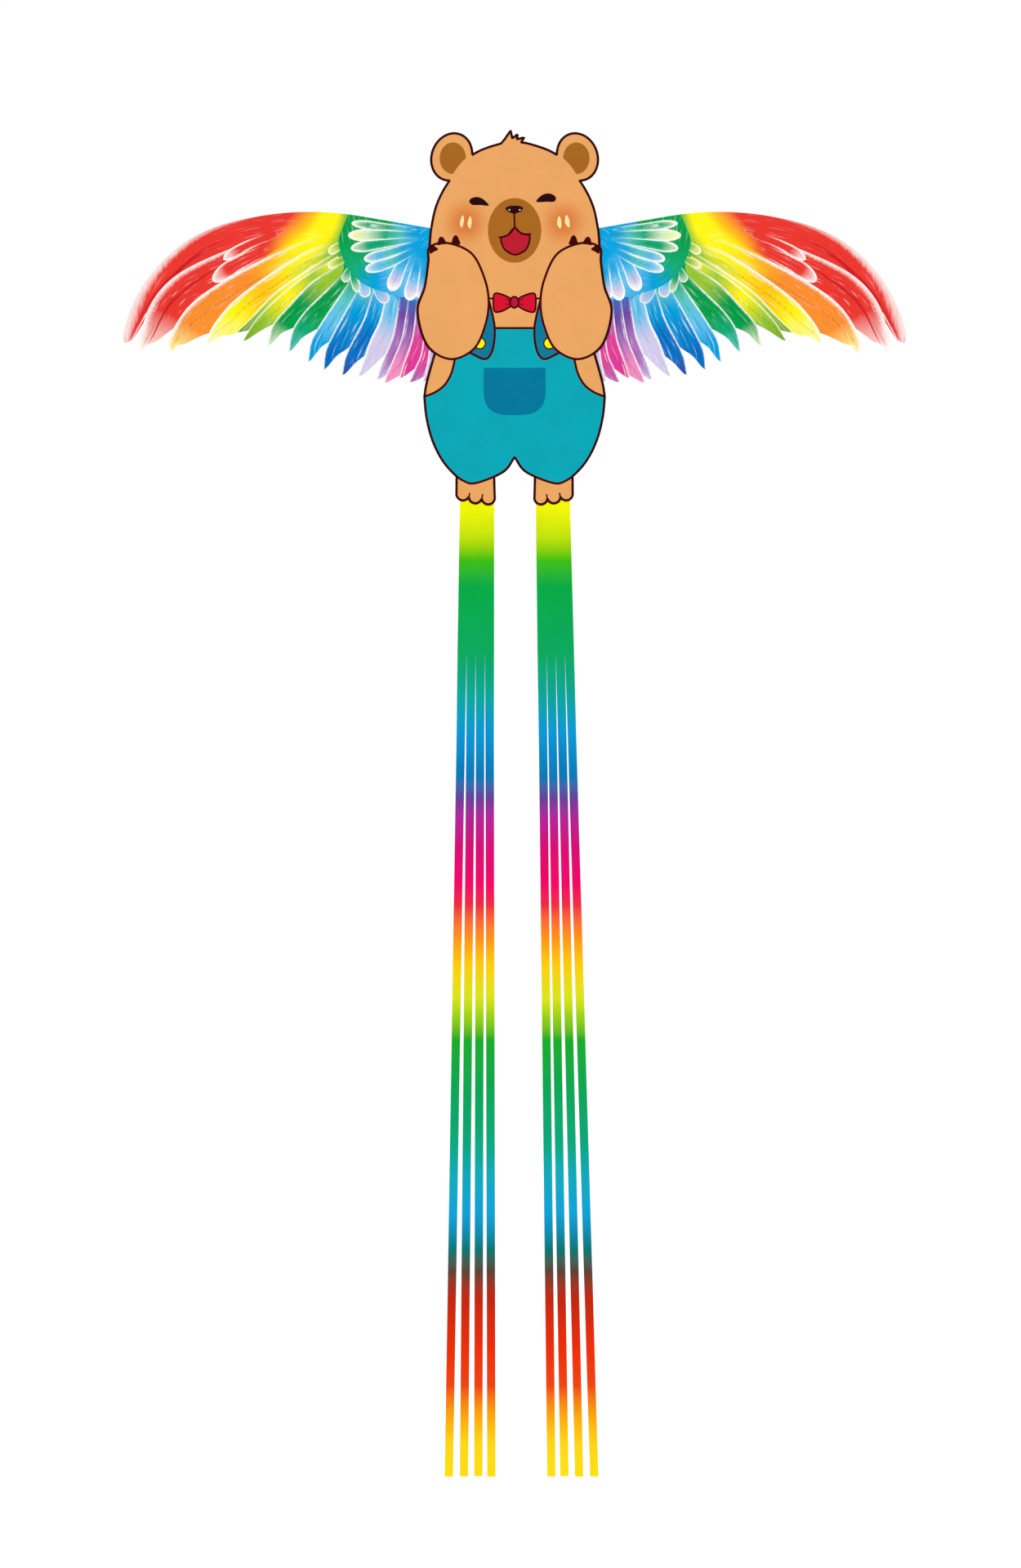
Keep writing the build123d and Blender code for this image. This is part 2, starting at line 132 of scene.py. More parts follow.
# ---- colours, as a printer would name them (sRGB, 0 to 255) ----------------------------------------
INK = {
    "fur": (230, 163, 97), "blush": (216, 118, 56), "brown": (165, 101, 32), "nose": (40, 5, 14),
    "line": (64, 0, 4), "line_dark": (50, 0, 4), "mouth": (184, 28, 48), "bow": (211, 16, 45),
    "knot": (178, 22, 52), "teal": (6, 163, 178), "pocket": (0, 117, 153), "strap": (10, 118, 150),
    "button": (252, 238, 20), "cream": (255, 226, 164), "white": (252, 250, 246), "red": (230, 54, 46),
    "deep_red": (196, 28, 34), "blush_white": (250, 226, 218), "orange": (246, 140, 44),
    "amber": (252, 190, 20), "yellow": (255, 240, 16), "lemon": (252, 249, 150), "lime": (150, 196, 52),
    "olive": (116, 164, 46), "green": (0, 156, 74), "emerald": (18, 168, 116), "sea": (90, 196, 190),
    "cyan": (0, 160, 218), "azure": (0, 136, 206), "sky": (96, 190, 232), "blue": (0, 112, 194),
    "navy": (44, 72, 160), "lilac": (208, 200, 232), "mauve": (170, 112, 184), "violet": (112, 70, 160),
    "magenta": (222, 58, 150), "pink": (240, 140, 190), "mint": (206, 232, 190), "mist": (208, 232, 236),
}


def linear(colour):
    """An INK name, or an sRGB triple, as linear light."""
    c = np.array(INK[colour] if isinstance(colour, str) else colour, float) / 255
    return np.where(c <= 0.04045, c / 12.92, ((c + 0.055) / 1.055) ** 2.4)


def rgba(colour):
    return (*linear(colour), 1.0)


# ---- drawing in the plane of the sail --------------------------------------------------------------
def curve(points, closed=False, step=3.0):
    """A smooth Catmull-Rom line through the points, with a point about every step mm."""
    p = np.array(points, float)
    count = len(p)
    spans = count if closed else count - 1
    line = []
    for i in range(spans):
        if closed:
            a, b, c, d = (p[(i + k) % count] for k in (-1, 0, 1, 2))
        else:
            b, c = p[i], p[i + 1]
            a = p[i - 1] if i else 2 * b - c
            d = p[i + 2] if i + 2 < count else 2 * c - b
        pieces = max(2, int(np.ceil(np.linalg.norm(c - b) / step)))
        for t in np.arange(pieces) / pieces:
            line.append(0.5 * (
                2 * b + (c - a) * t + (2 * a - 5 * b + 4 * c - d) * t**2 + (3 * b - a - 3 * c + d) * t**3
            ))
    if not closed:
        line.append(p[-1])
    return np.array(line)


def ellipse(centre, radii, count=64, tilt=0.0):
    """A closed ellipse, turned anticlockwise by tilt degrees."""
    angle = np.linspace(0, 2 * pi, count, endpoint=False)
    x, z = radii[0] * np.cos(angle), radii[1] * np.sin(angle)
    c, s = cos(radians(tilt)), sin(radians(tilt))
    return np.stack([centre[0] + c * x - s * z, centre[1] + s * x + c * z], 1)


def mirrored(points):
    """The same line on the other side of the kite, drawn the same way round."""
    return (np.array(points, float) * (-1, 1))[::-1]


def normals(line, closed):
    """Unit vectors to the left of the line's direction at each of its points."""
    if closed:
        ahead = np.roll(line, -1, 0) - np.roll(line, 1, 0)
    else:
        ahead = np.gradient(line, axis=0)
    ahead /= np.maximum(np.linalg.norm(ahead, axis=1, keepdims=True), 1e-9)
    return np.stack([-ahead[:, 1], ahead[:, 0]], 1)


def stroke(points, width, closed=False, taper=(1.0, 1.0)):
    """The outline of a drawn line. taper is the width's share at each end of an open line."""
    line = np.array(points, float)
    if closed:
        share = np.ones(len(line))
    else:
        t = np.linspace(0, 1, len(line))
        share = np.minimum(1, np.minimum(taper[0] + 6 * t, taper[1] + 6 * (1 - t)))
    side = normals(line, closed) * (share * width / 2)[:, None]
    if closed:
        return [line + side, line - side]
    return [np.concatenate([line + side, (line - side)[::-1]])]


def inside(points, loops):
    """Which points lie inside the loops taken together, by the even-odd rule."""
    odd = np.zeros(len(points), bool)
    for loop in loops:
        low, high = loop.min(0), loop.max(0)
        near = np.flatnonzero(((points >= low) & (points <= high)).all(1))
        if not len(near):
            continue
        x, z = points[near, 0][:, None], points[near, 1][:, None]
        a, b = loop, np.roll(loop, -1, 0)
        crosses = (a[:, 1] > z) != (b[:, 1] > z)
        with np.errstate(divide="ignore", invalid="ignore"):
            at = a[:, 0] + (z - a[:, 1]) * (b[:, 0] - a[:, 0]) / (b[:, 1] - a[:, 1])
        odd[near] ^= (crosses & (x < at)).sum(1) % 2 == 1
    return odd


def in_any(points, shapes):
    """Which points lie inside at least one of the shapes."""
    return np.any([inside(points, [shape]) for shape in shapes], axis=0)


def triangulate(loops, spacing):
    """A mesh of the plane, facing one way, with every loop in its edges and points about spacing apart."""
    points = np.concatenate(loops)
    edges = []
    start = 0
    for loop in loops:
        n = len(loop)
        edges += [(start + i, start + (i + 1) % n) for i in range(n)]
        start += n
    tree = KDTree(len(points))
    for i, p in enumerate(points):
        tree.insert((p[0], p[1], 0), i)
    tree.balance()
    low, high = points.min(0), points.max(0)
    grid = []
    for row, z in enumerate(np.arange(low[1], high[1], spacing * 0.87)):
        for x in np.arange(low[0] + (row % 2) * spacing / 2, high[0], spacing):
            if tree.find((x, z, 0))[2] > 0.45 * spacing:
                grid.append((x, z))
    everything = [Vector(p) for p in points] + [Vector(p) for p in grid]
    found = delaunay_2d_cdt(everything, edges, [], 0, 1e-4, False)
    flat = np.array([tuple(v) for v in found[0]])
    triangles = np.array([tuple(f) for f in found[2] if len(f) == 3])
    corners = flat[triangles]
    area = np.cross(corners[:, 1] - corners[:, 0], corners[:, 2] - corners[:, 0])
    triangles[area < 0] = triangles[area < 0][:, ::-1]
    return flat, triangles[np.abs(area) > 1e-7]


def border(triangles):
    """The edges that only one triangle has, and which triangle that is."""
    sides = {(t[i], t[(i + 1) % 3]): k for k, t in enumerate(triangles.tolist()) for i in range(3)}
    return {side: k for side, k in sides.items() if side[::-1] not in sides}


def two_faced(triangles, count, edges):
    """Faces of a thin closed sheet: its front, its back made of the next `count` points, and its rim."""
    walls = [(b, a, a + count, b + count) for a, b in edges]
    return triangles.tolist() + (triangles[:, ::-1] + count).tolist() + walls


class Sheet:
    """A thin cloth sheet in one plane, cut by its artwork into closed islands that meet edge to edge."""

    def __init__(self, loops, spacing, depth, half):
        self.points, self.triangles = triangulate(loops, spacing)
        self.middles = self.points[self.triangles].mean(1)
        self.label = np.full(len(self.triangles), -1)
        self.depth, self.half = depth, half

    def paint(self, label, loops):
        self.label[inside(self.middles, loops)] = label

    def island(self, label):
        """One label's closed piece: points in the plane, vertices, faces, how many of them aren't its rim."""
        used, triangles = np.unique(self.triangles[self.label == label], return_inverse=True)
        triangles = triangles.reshape(-1, 3)
        flat = self.points[used]
        edges = sorted(border(triangles), key=lambda edge: edge[::-1])
        return flat, self.both_sides(flat), two_faced(triangles, len(flat), edges), 2 * len(triangles)

    def both_sides(self, flat, sign=1):
        """The vertices of the front and then of the back, over points of the plane."""
        x, z = flat.T
        y = self.depth(x, z)
        return np.concatenate([np.stack([sign * x, y + half, z], 1) for half in (-self.half, self.half)])


def write_attributes(mesh, domain, fields):
    """Numbers, or colours where there are four to a place, for the materials to read."""
    for key, values in fields.items():
        values = np.array(values, np.float32)
        kind, where = ("FLOAT_COLOR", "color") if values.ndim == 2 else ("FLOAT", "value")
        mesh.attributes.new(key, kind, domain).data.foreach_set(where, values.ravel())


def add_piece(name, vertices, faces, material, smooth=None, attributes=None):
    """A mesh object from vertices in mm. The first `smooth` faces are shaded smooth, the rest flat."""
    mesh = bpy.data.meshes.new(name)
    vertices = np.array(vertices, float)
    mesh.from_pydata((vertices * MM).tolist(), [], [tuple(int(i) for i in f) for f in faces])
    count = len(faces) if smooth is None else smooth
    mesh.polygons.foreach_set("use_smooth", [i < count for i in range(len(faces))])
    if count < len(faces):
        rim = set()
        for face in faces[count:]:
            rim |= {frozenset(pair) for pair in zip(face, [*face[1:], face[0]])}
        for edge in mesh.edges:
            edge.use_edge_sharp = frozenset(edge.vertices) in rim
    rest = mesh.attributes.new("rest", "FLOAT_VECTOR", "POINT")
    rest.data.foreach_set("vector", (vertices * MM).ravel())
    write_attributes(mesh, "POINT", attributes or {})
    mesh.materials.append(material)
    piece = bpy.data.objects.new(name, mesh)
    bpy.context.collection.objects.link(piece)
    return piece


# ---- materials -------------------------------------------------------------------------------------
class Maker:
    """Builds one node material: a Principled shader and whatever feeds it."""

    def __init__(self, name, roughness, specular):
        self.material = bpy.data.materials.new(name)
        self.material.use_nodes = True
        self.tree = self.material.node_tree
        self.shader = self.tree.nodes["Principled BSDF"]
        self.set(self.shader, {"Roughness": roughness, "Specular IOR Level": specular})

    def set(self, node, inputs):
        for key, value in inputs.items():
            socket = node.inputs[key]
            if isinstance(value, bpy.types.NodeSocket):
                self.tree.links.new(value, socket)
            else:
                socket.default_value = value

    def node(self, kind, inputs=None, **settings):
        node = self.tree.nodes.new("ShaderNode" + kind)
        for key, value in settings.items():
            setattr(node, key, value)
        self.set(node, inputs or {})
        return node

    def attribute(self, name, output="Fac"):
        return self.node("Attribute", attribute_name=name).outputs[output]

    def math(self, operation, *values):
        return self.node("Math", dict(enumerate(values)), operation=operation).outputs[0]

    def times(self, first, second):
        return self.math("MULTIPLY", first, second)

    def between(self, value, low, high, to_low=0.0, to_high=1.0, kind="SMOOTHSTEP"):
        """value, read as a step from low to high."""
        inputs = {"Value": value, "From Min": low, "From Max": high, "To Min": to_low, "To Max": to_high}
        return self.node("MapRange", inputs, interpolation_type=kind).outputs[0]

    def mix(self, factor, first, second, blend="MIX"):
        inputs = {0: factor, 6: first, 7: second}
        return self.node("Mix", inputs, data_type="RGBA", blend_type=blend).outputs[2]

    def shaded(self, colour, shade):
        """colour, darker or lighter by a number."""
        grey = self.node("CombineColor", {0: shade, 1: shade, 2: shade}).outputs[0]
        return self.mix(1.0, colour, grey, "MULTIPLY")

    def noise(self, vector, scale, detail=2.0, roughness=0.5):
        inputs = {"Vector": vector, "Scale": scale, "Detail": detail, "Roughness": roughness}
        return self.node("TexNoise", inputs).outputs[0]

    def wave(self, vector, pitch, direction, distortion=0.0):
        inputs = {"Vector": vector, "Scale": WAVE_PERIOD / pitch, "Distortion": distortion}
        return self.node("TexWave", inputs, bands_direction=direction).outputs[1]

    def bump(self, height, distance, strength=1.0, **normal):
        inputs = {"Height": height, "Distance": distance, "Strength": strength, **normal}
        return self.node("Bump", inputs).outputs[0]

    def object_place(self):
        return self.node("TexCoord").outputs["Object"]

    def finish(self, base, height, distance, strength):
        """The material, with its base colour and its relief."""
        self.set(self.shader, {"Base Color": base, "Normal": self.bump(height, distance, strength)})
        return self.material


THREAD = 0.0009  # pitch of the woven threads, in metres
WAVE_PERIOD = pi / 10  # of a wave texture at scale 1
CRINKLE = 0.0028  # depth of the soft creases, in metres
BACK_PALE = 0.16  # how much of the print is lost on the back
PRINT_ROUGHNESS, RIBBON_ROUGHNESS = 0.75, 0.65
CLOTH_SPECULAR = 0.045
WHITE = (1, 1, 1, 1)


def finish_cloth(make, colour, shade):
    """Woven polyester: thread bump, soft creases, uneven dye, and a paler print on the back."""
    rest = make.attribute("rest", "Vector")
    tone = make.between(make.noise(rest, 22.0, 3.0), 0.3, 0.7, 1 - shade, 1 + shade / 2)
    faded = make.mix(make.times(make.attribute("back"), BACK_PALE), make.shaded(colour, tone), WHITE)
    warp, weft = (make.wave(rest, THREAD, direction) for direction in "XZ")
    weave = make.bump(make.math("ADD", warp, weft), 0.00006, 0.5)
    normal = make.bump(make.noise(rest, 14.0, 4.0, 0.45), CRINKLE, 0.35, Normal=weave)
    threads = make.between(make.times(warp, weft), 0.0, 1.0, 0.97, 1.05)
    make.set(make.shader, {"Base Color": make.shaded(faded, threads), "Normal": normal})
    return make.material


def printed(name, colour, shade):
    return finish_cloth(Maker(name, PRINT_ROUGHNESS, CLOTH_SPECULAR), rgba(colour), shade)


BLUSH_CENTRES = ((-0.0745, -0.0190), (0.0745, -0.0190))
BLUSH_REACH = 0.043


def fur_print():
    """Flat tan with a soft blush on each cheek."""
    make = Maker("fur_print", PRINT_ROUGHNESS, CLOTH_SPECULAR)
    rest = make.attribute("rest", "Vector")
    colour = rgba("fur")
    for x, z in BLUSH_CENTRES:
        away = make.node("VectorMath", {0: rest, 1: (x, 0, z)}, operation="DISTANCE").outputs[1]
        colour = make.mix(make.between(away, 0.002, BLUSH_REACH, 1.0, 0.0), colour, rgba("blush"))
    return finish_cloth(make, colour, 0.03)


def feather_print():
    """Painted feathers: a base paint, a white leading rim, a darker quill and fine barb streaks."""
    make = Maker("feather_print", PRINT_ROUGHNESS, CLOTH_SPECULAR)
    edge, along, seed = (make.attribute(key) for key in ("edge", "along", "seed"))

    def strokes(across, down, roughness):
        place = make.node("CombineXYZ", {0: make.times(edge, across), 1: make.times(along, down), 2: seed})
        return make.noise(place.outputs[0], 1.0, 2.0, roughness)

    def darkened(colour, factor, tint):
        return make.mix(factor, colour, make.mix(1.0, colour, tint, "MULTIPLY"))

    streak, strength = strokes(0.42, 0.022, 0.55), make.attribute("streak")
    lighter = make.times(make.between(streak, 0.58, 0.78), strength)
    darker = make.times(make.between(streak, 0.42, 0.24), strength)
    colour = make.mix(lighter, make.attribute("paint", "Color"), rgba("white"))
    colour = darkened(colour, make.times(darker, 0.5), (0.45, 0.45, 0.5, 1))
    quill = make.times(make.between(make.attribute("quill_mm"), 0.5, 2.2, 1.0, 0.0), make.attribute("quill"))
    colour = darkened(colour, quill, (0.5, 0.42, 0.5, 1))
    wander = make.times(make.math("SUBTRACT", strokes(0.12, 0.25, 0.5), 0.5), 0.8)
    share = make.math("ADD", make.math("DIVIDE", edge, make.attribute("rim_mm")), wander)
    rim = make.times(make.between(share, 0.15, 1.15, 1.0, 0.0), make.attribute("rim"))
    return finish_cloth(make, make.mix(rim, colour, rgba("white")), 0.03)


RIBBON_BANDS = (  # height in metres from the tow point, and colour
    (-0.455, (238, 242, 0)), (-0.500, (190, 222, 4)), (-0.535, (60, 187, 8)), (-0.575, (0, 168, 66)),
    (-0.680, (4, 164, 92)), (-0.740, (4, 163, 146)), (-0.800, (3, 150, 208)), (-0.870, (2, 116, 178)),
    (-0.900, (96, 62, 152)), (-0.930, (174, 34, 152)), (-0.975, (212, 6, 116)), (-1.035, (238, 0, 98)),
    (-1.065, (236, 40, 62)), (-1.115, (255, 144, 16)), (-1.155, (247, 199, 3)), (-1.205, (216, 226, 22)),
    (-1.235, (150, 206, 14)), (-1.270, (20, 170, 34)), (-1.350, (5, 163, 84)), (-1.430, (3, 165, 122)),
    (-1.480, (11, 167, 187)), (-1.535, (9, 160, 212)), (-1.595, (6, 112, 106)), (-1.625, (92, 64, 50)),
    (-1.665, (190, 36, 8)), (-1.745, (232, 44, 2)), (-1.800, (236, 66, 12)), (-1.850, (249, 168, 4)),
    (-1.890, (255, 212, 18)), (-1.945, (255, 222, 12)),
)


def ribbon_print():
    """The rainbow down a tail."""
    make = Maker("ribbon_print", RIBBON_ROUGHNESS, CLOTH_SPECULAR)
    top, bottom = RIBBON_BANDS[0][0], RIBBON_BANDS[-1][0]
    ramp = make.node("ValToRGB", {0: make.between(make.attribute("height"), top, bottom, kind="LINEAR")})
    stops = ramp.color_ramp.elements
    stops[1].position = 1.0
    for height, _ in RIBBON_BANDS[1:-1]:
        stops.new((height - top) / (bottom - top))
    for stop, (_, colour) in zip(stops, RIBBON_BANDS):
        stop.color = rgba(colour)
    return finish_cloth(make, ramp.outputs[0], 0.04)


def woven_tape(name, colour, rib=0.0011):
    """Grosgrain or bias tape: cross ribs, matt, a little worn."""
    make = Maker(name, 0.85, 0.06)
    rest = make.attribute("rest", "Vector")
    worn = make.between(make.noise(rest, 90.0, 3.0), 0.55, 0.8)
    dull = tuple(0.75 * c + 0.03 for c in linear(colour)) + (1.0,)
    base = make.mix(make.times(worn, 0.5), rgba(colour), dull)
    return make.finish(base, make.wave(rest, rib, "DIAGONAL", 0.4), 0.00012, 0.6)


def rod_material():
    """Pultruded glass fibre: dark resin with fine mottled fibres and a soft gloss."""
    make = Maker("glass_fibre_rod", 0.38, 0.45)
    fibres = make.noise(make.object_place(), 900.0, 4.0)
    base = make.mix(make.between(fibres, 0.35, 0.75), (0.012, 0.012, 0.014, 1), (0.060, 0.060, 0.066, 1))
    return make.finish(base, fibres, 0.00005, 0.4)


def moulded_plastic(name, colour, roughness):
    """Injection-moulded or extruded plastic: fine spark texture and faint flow marks."""
    make = Maker(name, roughness, 0.4)
    where = make.object_place()
    low, high = ((*(share * c for c in colour), 1.0) for share in (0.7, 1.5))
    base = make.mix(make.between(make.noise(where, 160.0, 2.0), 0.35, 0.7), low, high)
    return make.finish(base, make.noise(where, 2600.0, 2.0), 0.00004, 0.5)


def enamel():
    """Dark enamelled brass with a few bright scuffs."""
    make = Maker("eyelet_enamel", 0.6, 0.12)
    scuffs = make.between(make.noise(make.object_place(), 900.0, 4.0), 0.66, 0.74)
    base = make.mix(make.times(scuffs, 0.2), rgba("nose"), (0.10, 0.04, 0.03, 1))
    return make.finish(base, scuffs, 0.00003, 0.3)


MATERIALS = {
    "fur": fur_print(), "feather": feather_print(), "ribbon": ribbon_print(),
    "tape": woven_tape("edge_tape", "line_dark"), "black_tape": woven_tape("black_webbing", (26, 26, 28)),
    "thread": woven_tape("thread", (30, 24, 26), 0.0004), "rod": rod_material(),
    "connector": moulded_plastic("connector_plastic", (0.022, 0.022, 0.024), 0.45),
    "vinyl": moulded_plastic("soft_vinyl", (0.035, 0.036, 0.04), 0.35), "enamel": enamel(),
}
for ink in ("brown", "nose", "line", "mouth", "bow", "knot", "teal", "pocket", "strap", "button", "cream"):
    MATERIALS[ink] = printed(f"{ink}_print", ink, 0.02 if ink in ("nose", "line") else 0.04)


# ---- the bear's outline, in mm; each shape is one half unless it says so ---------------------------
HEAD = ((0, 103), (-22.5, 101), (-64.9, 83.6), (-99.3, 44.8), (-118.8, 8.8), (-127.5, -28.8), (-130, -57.5))
EAR_CENTRE, EAR_RADII, EAR_TILT = (-96.2, 81.0), (30.6, 36.8), -20.0
ARM = (
    (-130, -57.5), (-103.8, -50.6), (-66.3, -66.3), (-46.4, -103.8), (-39.6, -141), (-45.4, -178.3),
    (-63, -213.5), (-98.3, -228.4), (-133.5, -207.3), (-148.4, -155.5), (-137.5, -118), (-132, -80),
)
FLANK = ((-112, -190), (-123.1, -223.8), (-134.5, -265), (-138, -286))
SIDE_OPENING = ((-90, -222), (-96.3, -248.8), (-106.5, -267.4), (-121, -278.8), (-138, -286))
TROUSERS = (
    (-138, -286), (-135, -316), (-127, -349), (-113.4, -378.6), (-96.8, -400), (-78.5, -414.5),
    (-58.9, -418), (-17.5, -401), (0, -378.3),
)
INSTEP = ((-88.5, -400), (-88.9, -434), (-60, -440), (-30.5, -441), (-31.5, -400))
TOE_R = 10.0
TOES = ((-79, -434.6), (-60, -439.1), (-40.3, -440.8))
HAIR = (  # both halves
    (-23.8, 98), (-16, 107), (-6, 121.3), (-3.6, 109.3), (5, 116), (3, 108),
    (15, 110.8), (8.8, 102), (16, 99), (0, 90),
)
LINE_WIDTH, FINE_LINE, SPUR_LINE, CREASE_LINE = 3.6, 2.8, 2.4, 1.3
TAPE_WIDTH, TAPE_THICK = 4.0, 0.42


def silhouette_shapes():
    """Every closed shape whose union is the bear."""
    head, arm = curve(HEAD), curve(ARM, closed=True)
    chin = HEAD[-1][1]
    torso = np.concatenate([curve(FLANK), curve(TROUSERS)[1:], [(0, chin), (FLANK[0][0], chin)]])
    shapes = [np.concatenate([head, [(0, chin)]]), arm, torso, np.array(INSTEP, float)]
    shapes.append(ellipse(EAR_CENTRE, EAR_RADII, 80, EAR_TILT))
    shapes += [ellipse(toe, (TOE_R, TOE_R), 40) for toe in TOES]
    return [*shapes, *[mirrored(shape) for shape in shapes], np.array(HAIR, float)]


BELLY, BELLY_WIDTH = 1.1, 120.0


def body_depth(x, z):
    """The body sail's middle: flat at the frame, a little forward of it between the rods."""
    across = np.sin(pi * np.abs(x) / BELLY_WIDTH) ** 2
    down = 0.6 + 0.4 * np.sin(z / 55.0)
    return -BELLY * across * down


def union_outline(shapes):
    """The outer boundary of the shapes' union, as one closed loop."""
    points, triangles = triangulate(shapes, 40.0)
    kept = in_any(points[triangles].mean(1), shapes)
    sides = {(t[i], t[(i + 1) % 3]) for t in triangles[kept].tolist() for i in range(3)}
    following = {a: b for a, b in sides if (b, a) not in sides}
    longest = []
    while following:
        start, at = next(iter(following.items()))
        loop = [start]
        while at != start and at in following:
            loop.append(at)
            at = following.pop(at)
        following.pop(start, None)
        if len(loop) > len(longest):
            longest = loop
    return points[longest]


# ---- artwork on the body, in painting order --------------------------------------------------------
BROW = ((-68, 85), (-74, 79.4), (-84.8, 68.4), (-94.8, 54.1), (-99, 46))
BIB_TOP, BIB_HALF = -181, 31
POCKET_SIDE = ((-45.5, -241.8), (-47.4, -243.5), (-47.4, -280))
POCKET_FOOT = ((-47.4, -284), (-43.5, -298), (-33, -309), (-18, -313.6), (0, -314.3))
STRAP = (
    (-40.5, -134), (-34, -160), (-30.4, -182), (-31.8, -206), (-37.5, -222.5), (-47, -228.4), (-68, -219),
)
BUTTON, BUTTON_R, BUTTON_RIM_R = (-53.2, -204.3), 7.4, 9.6
ARM_HIDES_ABOVE = -227  # the dungarees' side opening is drawn below this
HEM_SHOWN = (-96, -22)  # between these, the hem of the trousers is drawn across the legs
SPURS = (((-70, -440), (-68.6, -432.5)), ((-50, -442), (-48.8, -434.5)))
CLAWS = (((-112.7, -41), (-111, -53)), ((-90.4, -38.8), (-90, -53)), ((-128.5, -54), (-123, -64)))
CLAW_HALF = ((0.0, 0.0), (0.12, 3.0), (0.5, 5.4), (1.0, 7.0))  # share of a claw's length, half its width
EYES = (
    ((-69.6, 12.6), (-66.5, 17.4), (-58.3, 19.8), (-48.5, 16.6), (-39.2, 6.6), (-52, 7.2), (-64.6, 7.6)),
    ((33.2, 12.6), (41.7, 22.4), (52.1, 25.2), (61.3, 21.6), (63.4, 16.6), (60.2, 12.4), (50, 12.2)),
)
MOUTH = (
    (0, -27.7), (-10.4, -38.4), (-20.6, -42.6), (-19.4, -52), (-13.2, -62.5), (1, -68.6),
    (15.5, -62.5), (21.6, -52), (22.6, -39.6), (10.4, -36.2),
)
SMILE = (
    ((0.2, -26), (-6.5, -35.5), (-14.5, -40.6), (-25.4, -42.2)),
    ((0.2, -26), (6.3, -33), (14.6, -36.9), (26.6, -36.9)),
)
NOSE = ((-14.1, 2.1), (-8.6, 5.8), (0, 6.6), (8.3, 5.9), (13, 2.4), (8.2, -2.9), (-0.4, -6), (-9.4, -2.9))
GLINTS = ((-80.7, -17.8, 1.3), (-68.8, -19.4, 0.6), (68.3, -19.2, -0.5), (80.5, -17.6, -1.7))  # x, z, lean
BOW_LOBE = (
    (-31.8, -130.6), (-27.5, -127.6), (-16, -130.6), (-5, -136.6), (-4, -141.5), (-5, -146.6),
    (-16, -153.6), (-26.5, -156.6), (-31.2, -154.2), (-32.6, -142.6),
)


def pair(ink, shape):
    """A shape and its mirror image, filled with one ink."""
    return [(ink, [shape]), (ink, [mirrored(shape)])]


def drawn(lines, width=LINE_WIDTH, **how):
    """Each line as a stroke of the dark ink."""
    return [("line", stroke(line, width, **how)) for line in lines]


def small(points):
    """A small smooth shape."""
    return curve(points, closed=True, step=1.5)


def body_artwork(shapes):
    """(ink, loops) from the bottom layer to the top one."""
    art = [("fur", [shape]) for shape in shapes]
    art += pair("brown", ellipse((-94.5, 79.0), (20.2, 24.2)))
    art += pair("fur", np.concatenate([curve(BROW), [(-60, 40)]]))
    bib = [(0, BIB_TOP), (-60, BIB_TOP)]
    art += pair("teal", np.concatenate([bib, curve(SIDE_OPENING), curve(TROUSERS)[1:]]))
    pocket = np.concatenate([POCKET_SIDE, curve(POCKET_FOOT)])
    art.append(("pocket", [np.concatenate([pocket, mirrored(pocket)[1:]])]))
    strap = curve(STRAP)
    art += pair("strap", np.concatenate([strap, [(-60, -170), (-46, -134)]]))
    art += drawn([strap, mirrored(strap), np.linspace((-BIB_HALF, BIB_TOP), (BIB_HALF, BIB_TOP), 20)])
    art += pair("line", ellipse(BUTTON, (BUTTON_RIM_R, BUTTON_RIM_R), 40))
    art += pair("button", ellipse(BUTTON, (BUTTON_R, BUTTON_R), 40))
    arm = curve(ARM, closed=True)
    art += pair("fur", arm) + claws() + drawn([arm, mirrored(arm)], closed=True)
    opening, hem = curve(SIDE_OPENING), curve(TROUSERS)
    opening = opening[opening[:, 1] < ARM_HIDES_ABOVE]
    hem = hem[(hem[:, 0] > HEM_SHOWN[0]) & (hem[:, 0] < HEM_SHOWN[1])]
    art += drawn([opening, mirrored(opening), hem, mirrored(hem)])
    for start, end in SPURS:
        spur = np.linspace(start, end, 6)
        art += drawn([spur], SPUR_LINE, taper=(1.0, 0.2))
        art += drawn([mirrored(spur)], SPUR_LINE, taper=(0.2, 1.0))
    return art + face() + bow_tie()


def claws():
    art = []
    for tip, base in np.array(CLAWS):
        along = base - tip
        side = np.array([-along[1], along[0]]) / np.linalg.norm(along)
        right = [tip + down * along + out * side for down, out in CLAW_HALF]
        left = [tip + down * along - out * side for down, out in CLAW_HALF[:0:-1]]
        art += pair("line", small([*right, base, *left]))
    return art


def face():
    art = [("brown", [ellipse((0, -31.4), (40.9, 49.5), 96)])]
    art += [("nose", [small(eye)]) for eye in EYES]
    art += [("mouth", [small(MOUTH)])] + drawn([small(MOUTH)], FINE_LINE, closed=True)
    art += drawn([curve(side, step=1.5) for side in SMILE], FINE_LINE, taper=(1.0, 0.4))
    art += drawn([np.linspace((-0.6, -4), (0.2, -27.5), 12)], FINE_LINE)
    art.append(("nose", [small(NOSE)]))
    for x, z, lean in GLINTS:
        glint = ((x + lean, z + 9.6), (x + 3.2, z + 2), (x - lean + 1.4, z - 9.4), (x - 3.2, z - 2))
        art.append(("cream", [small(glint)]))
    return art


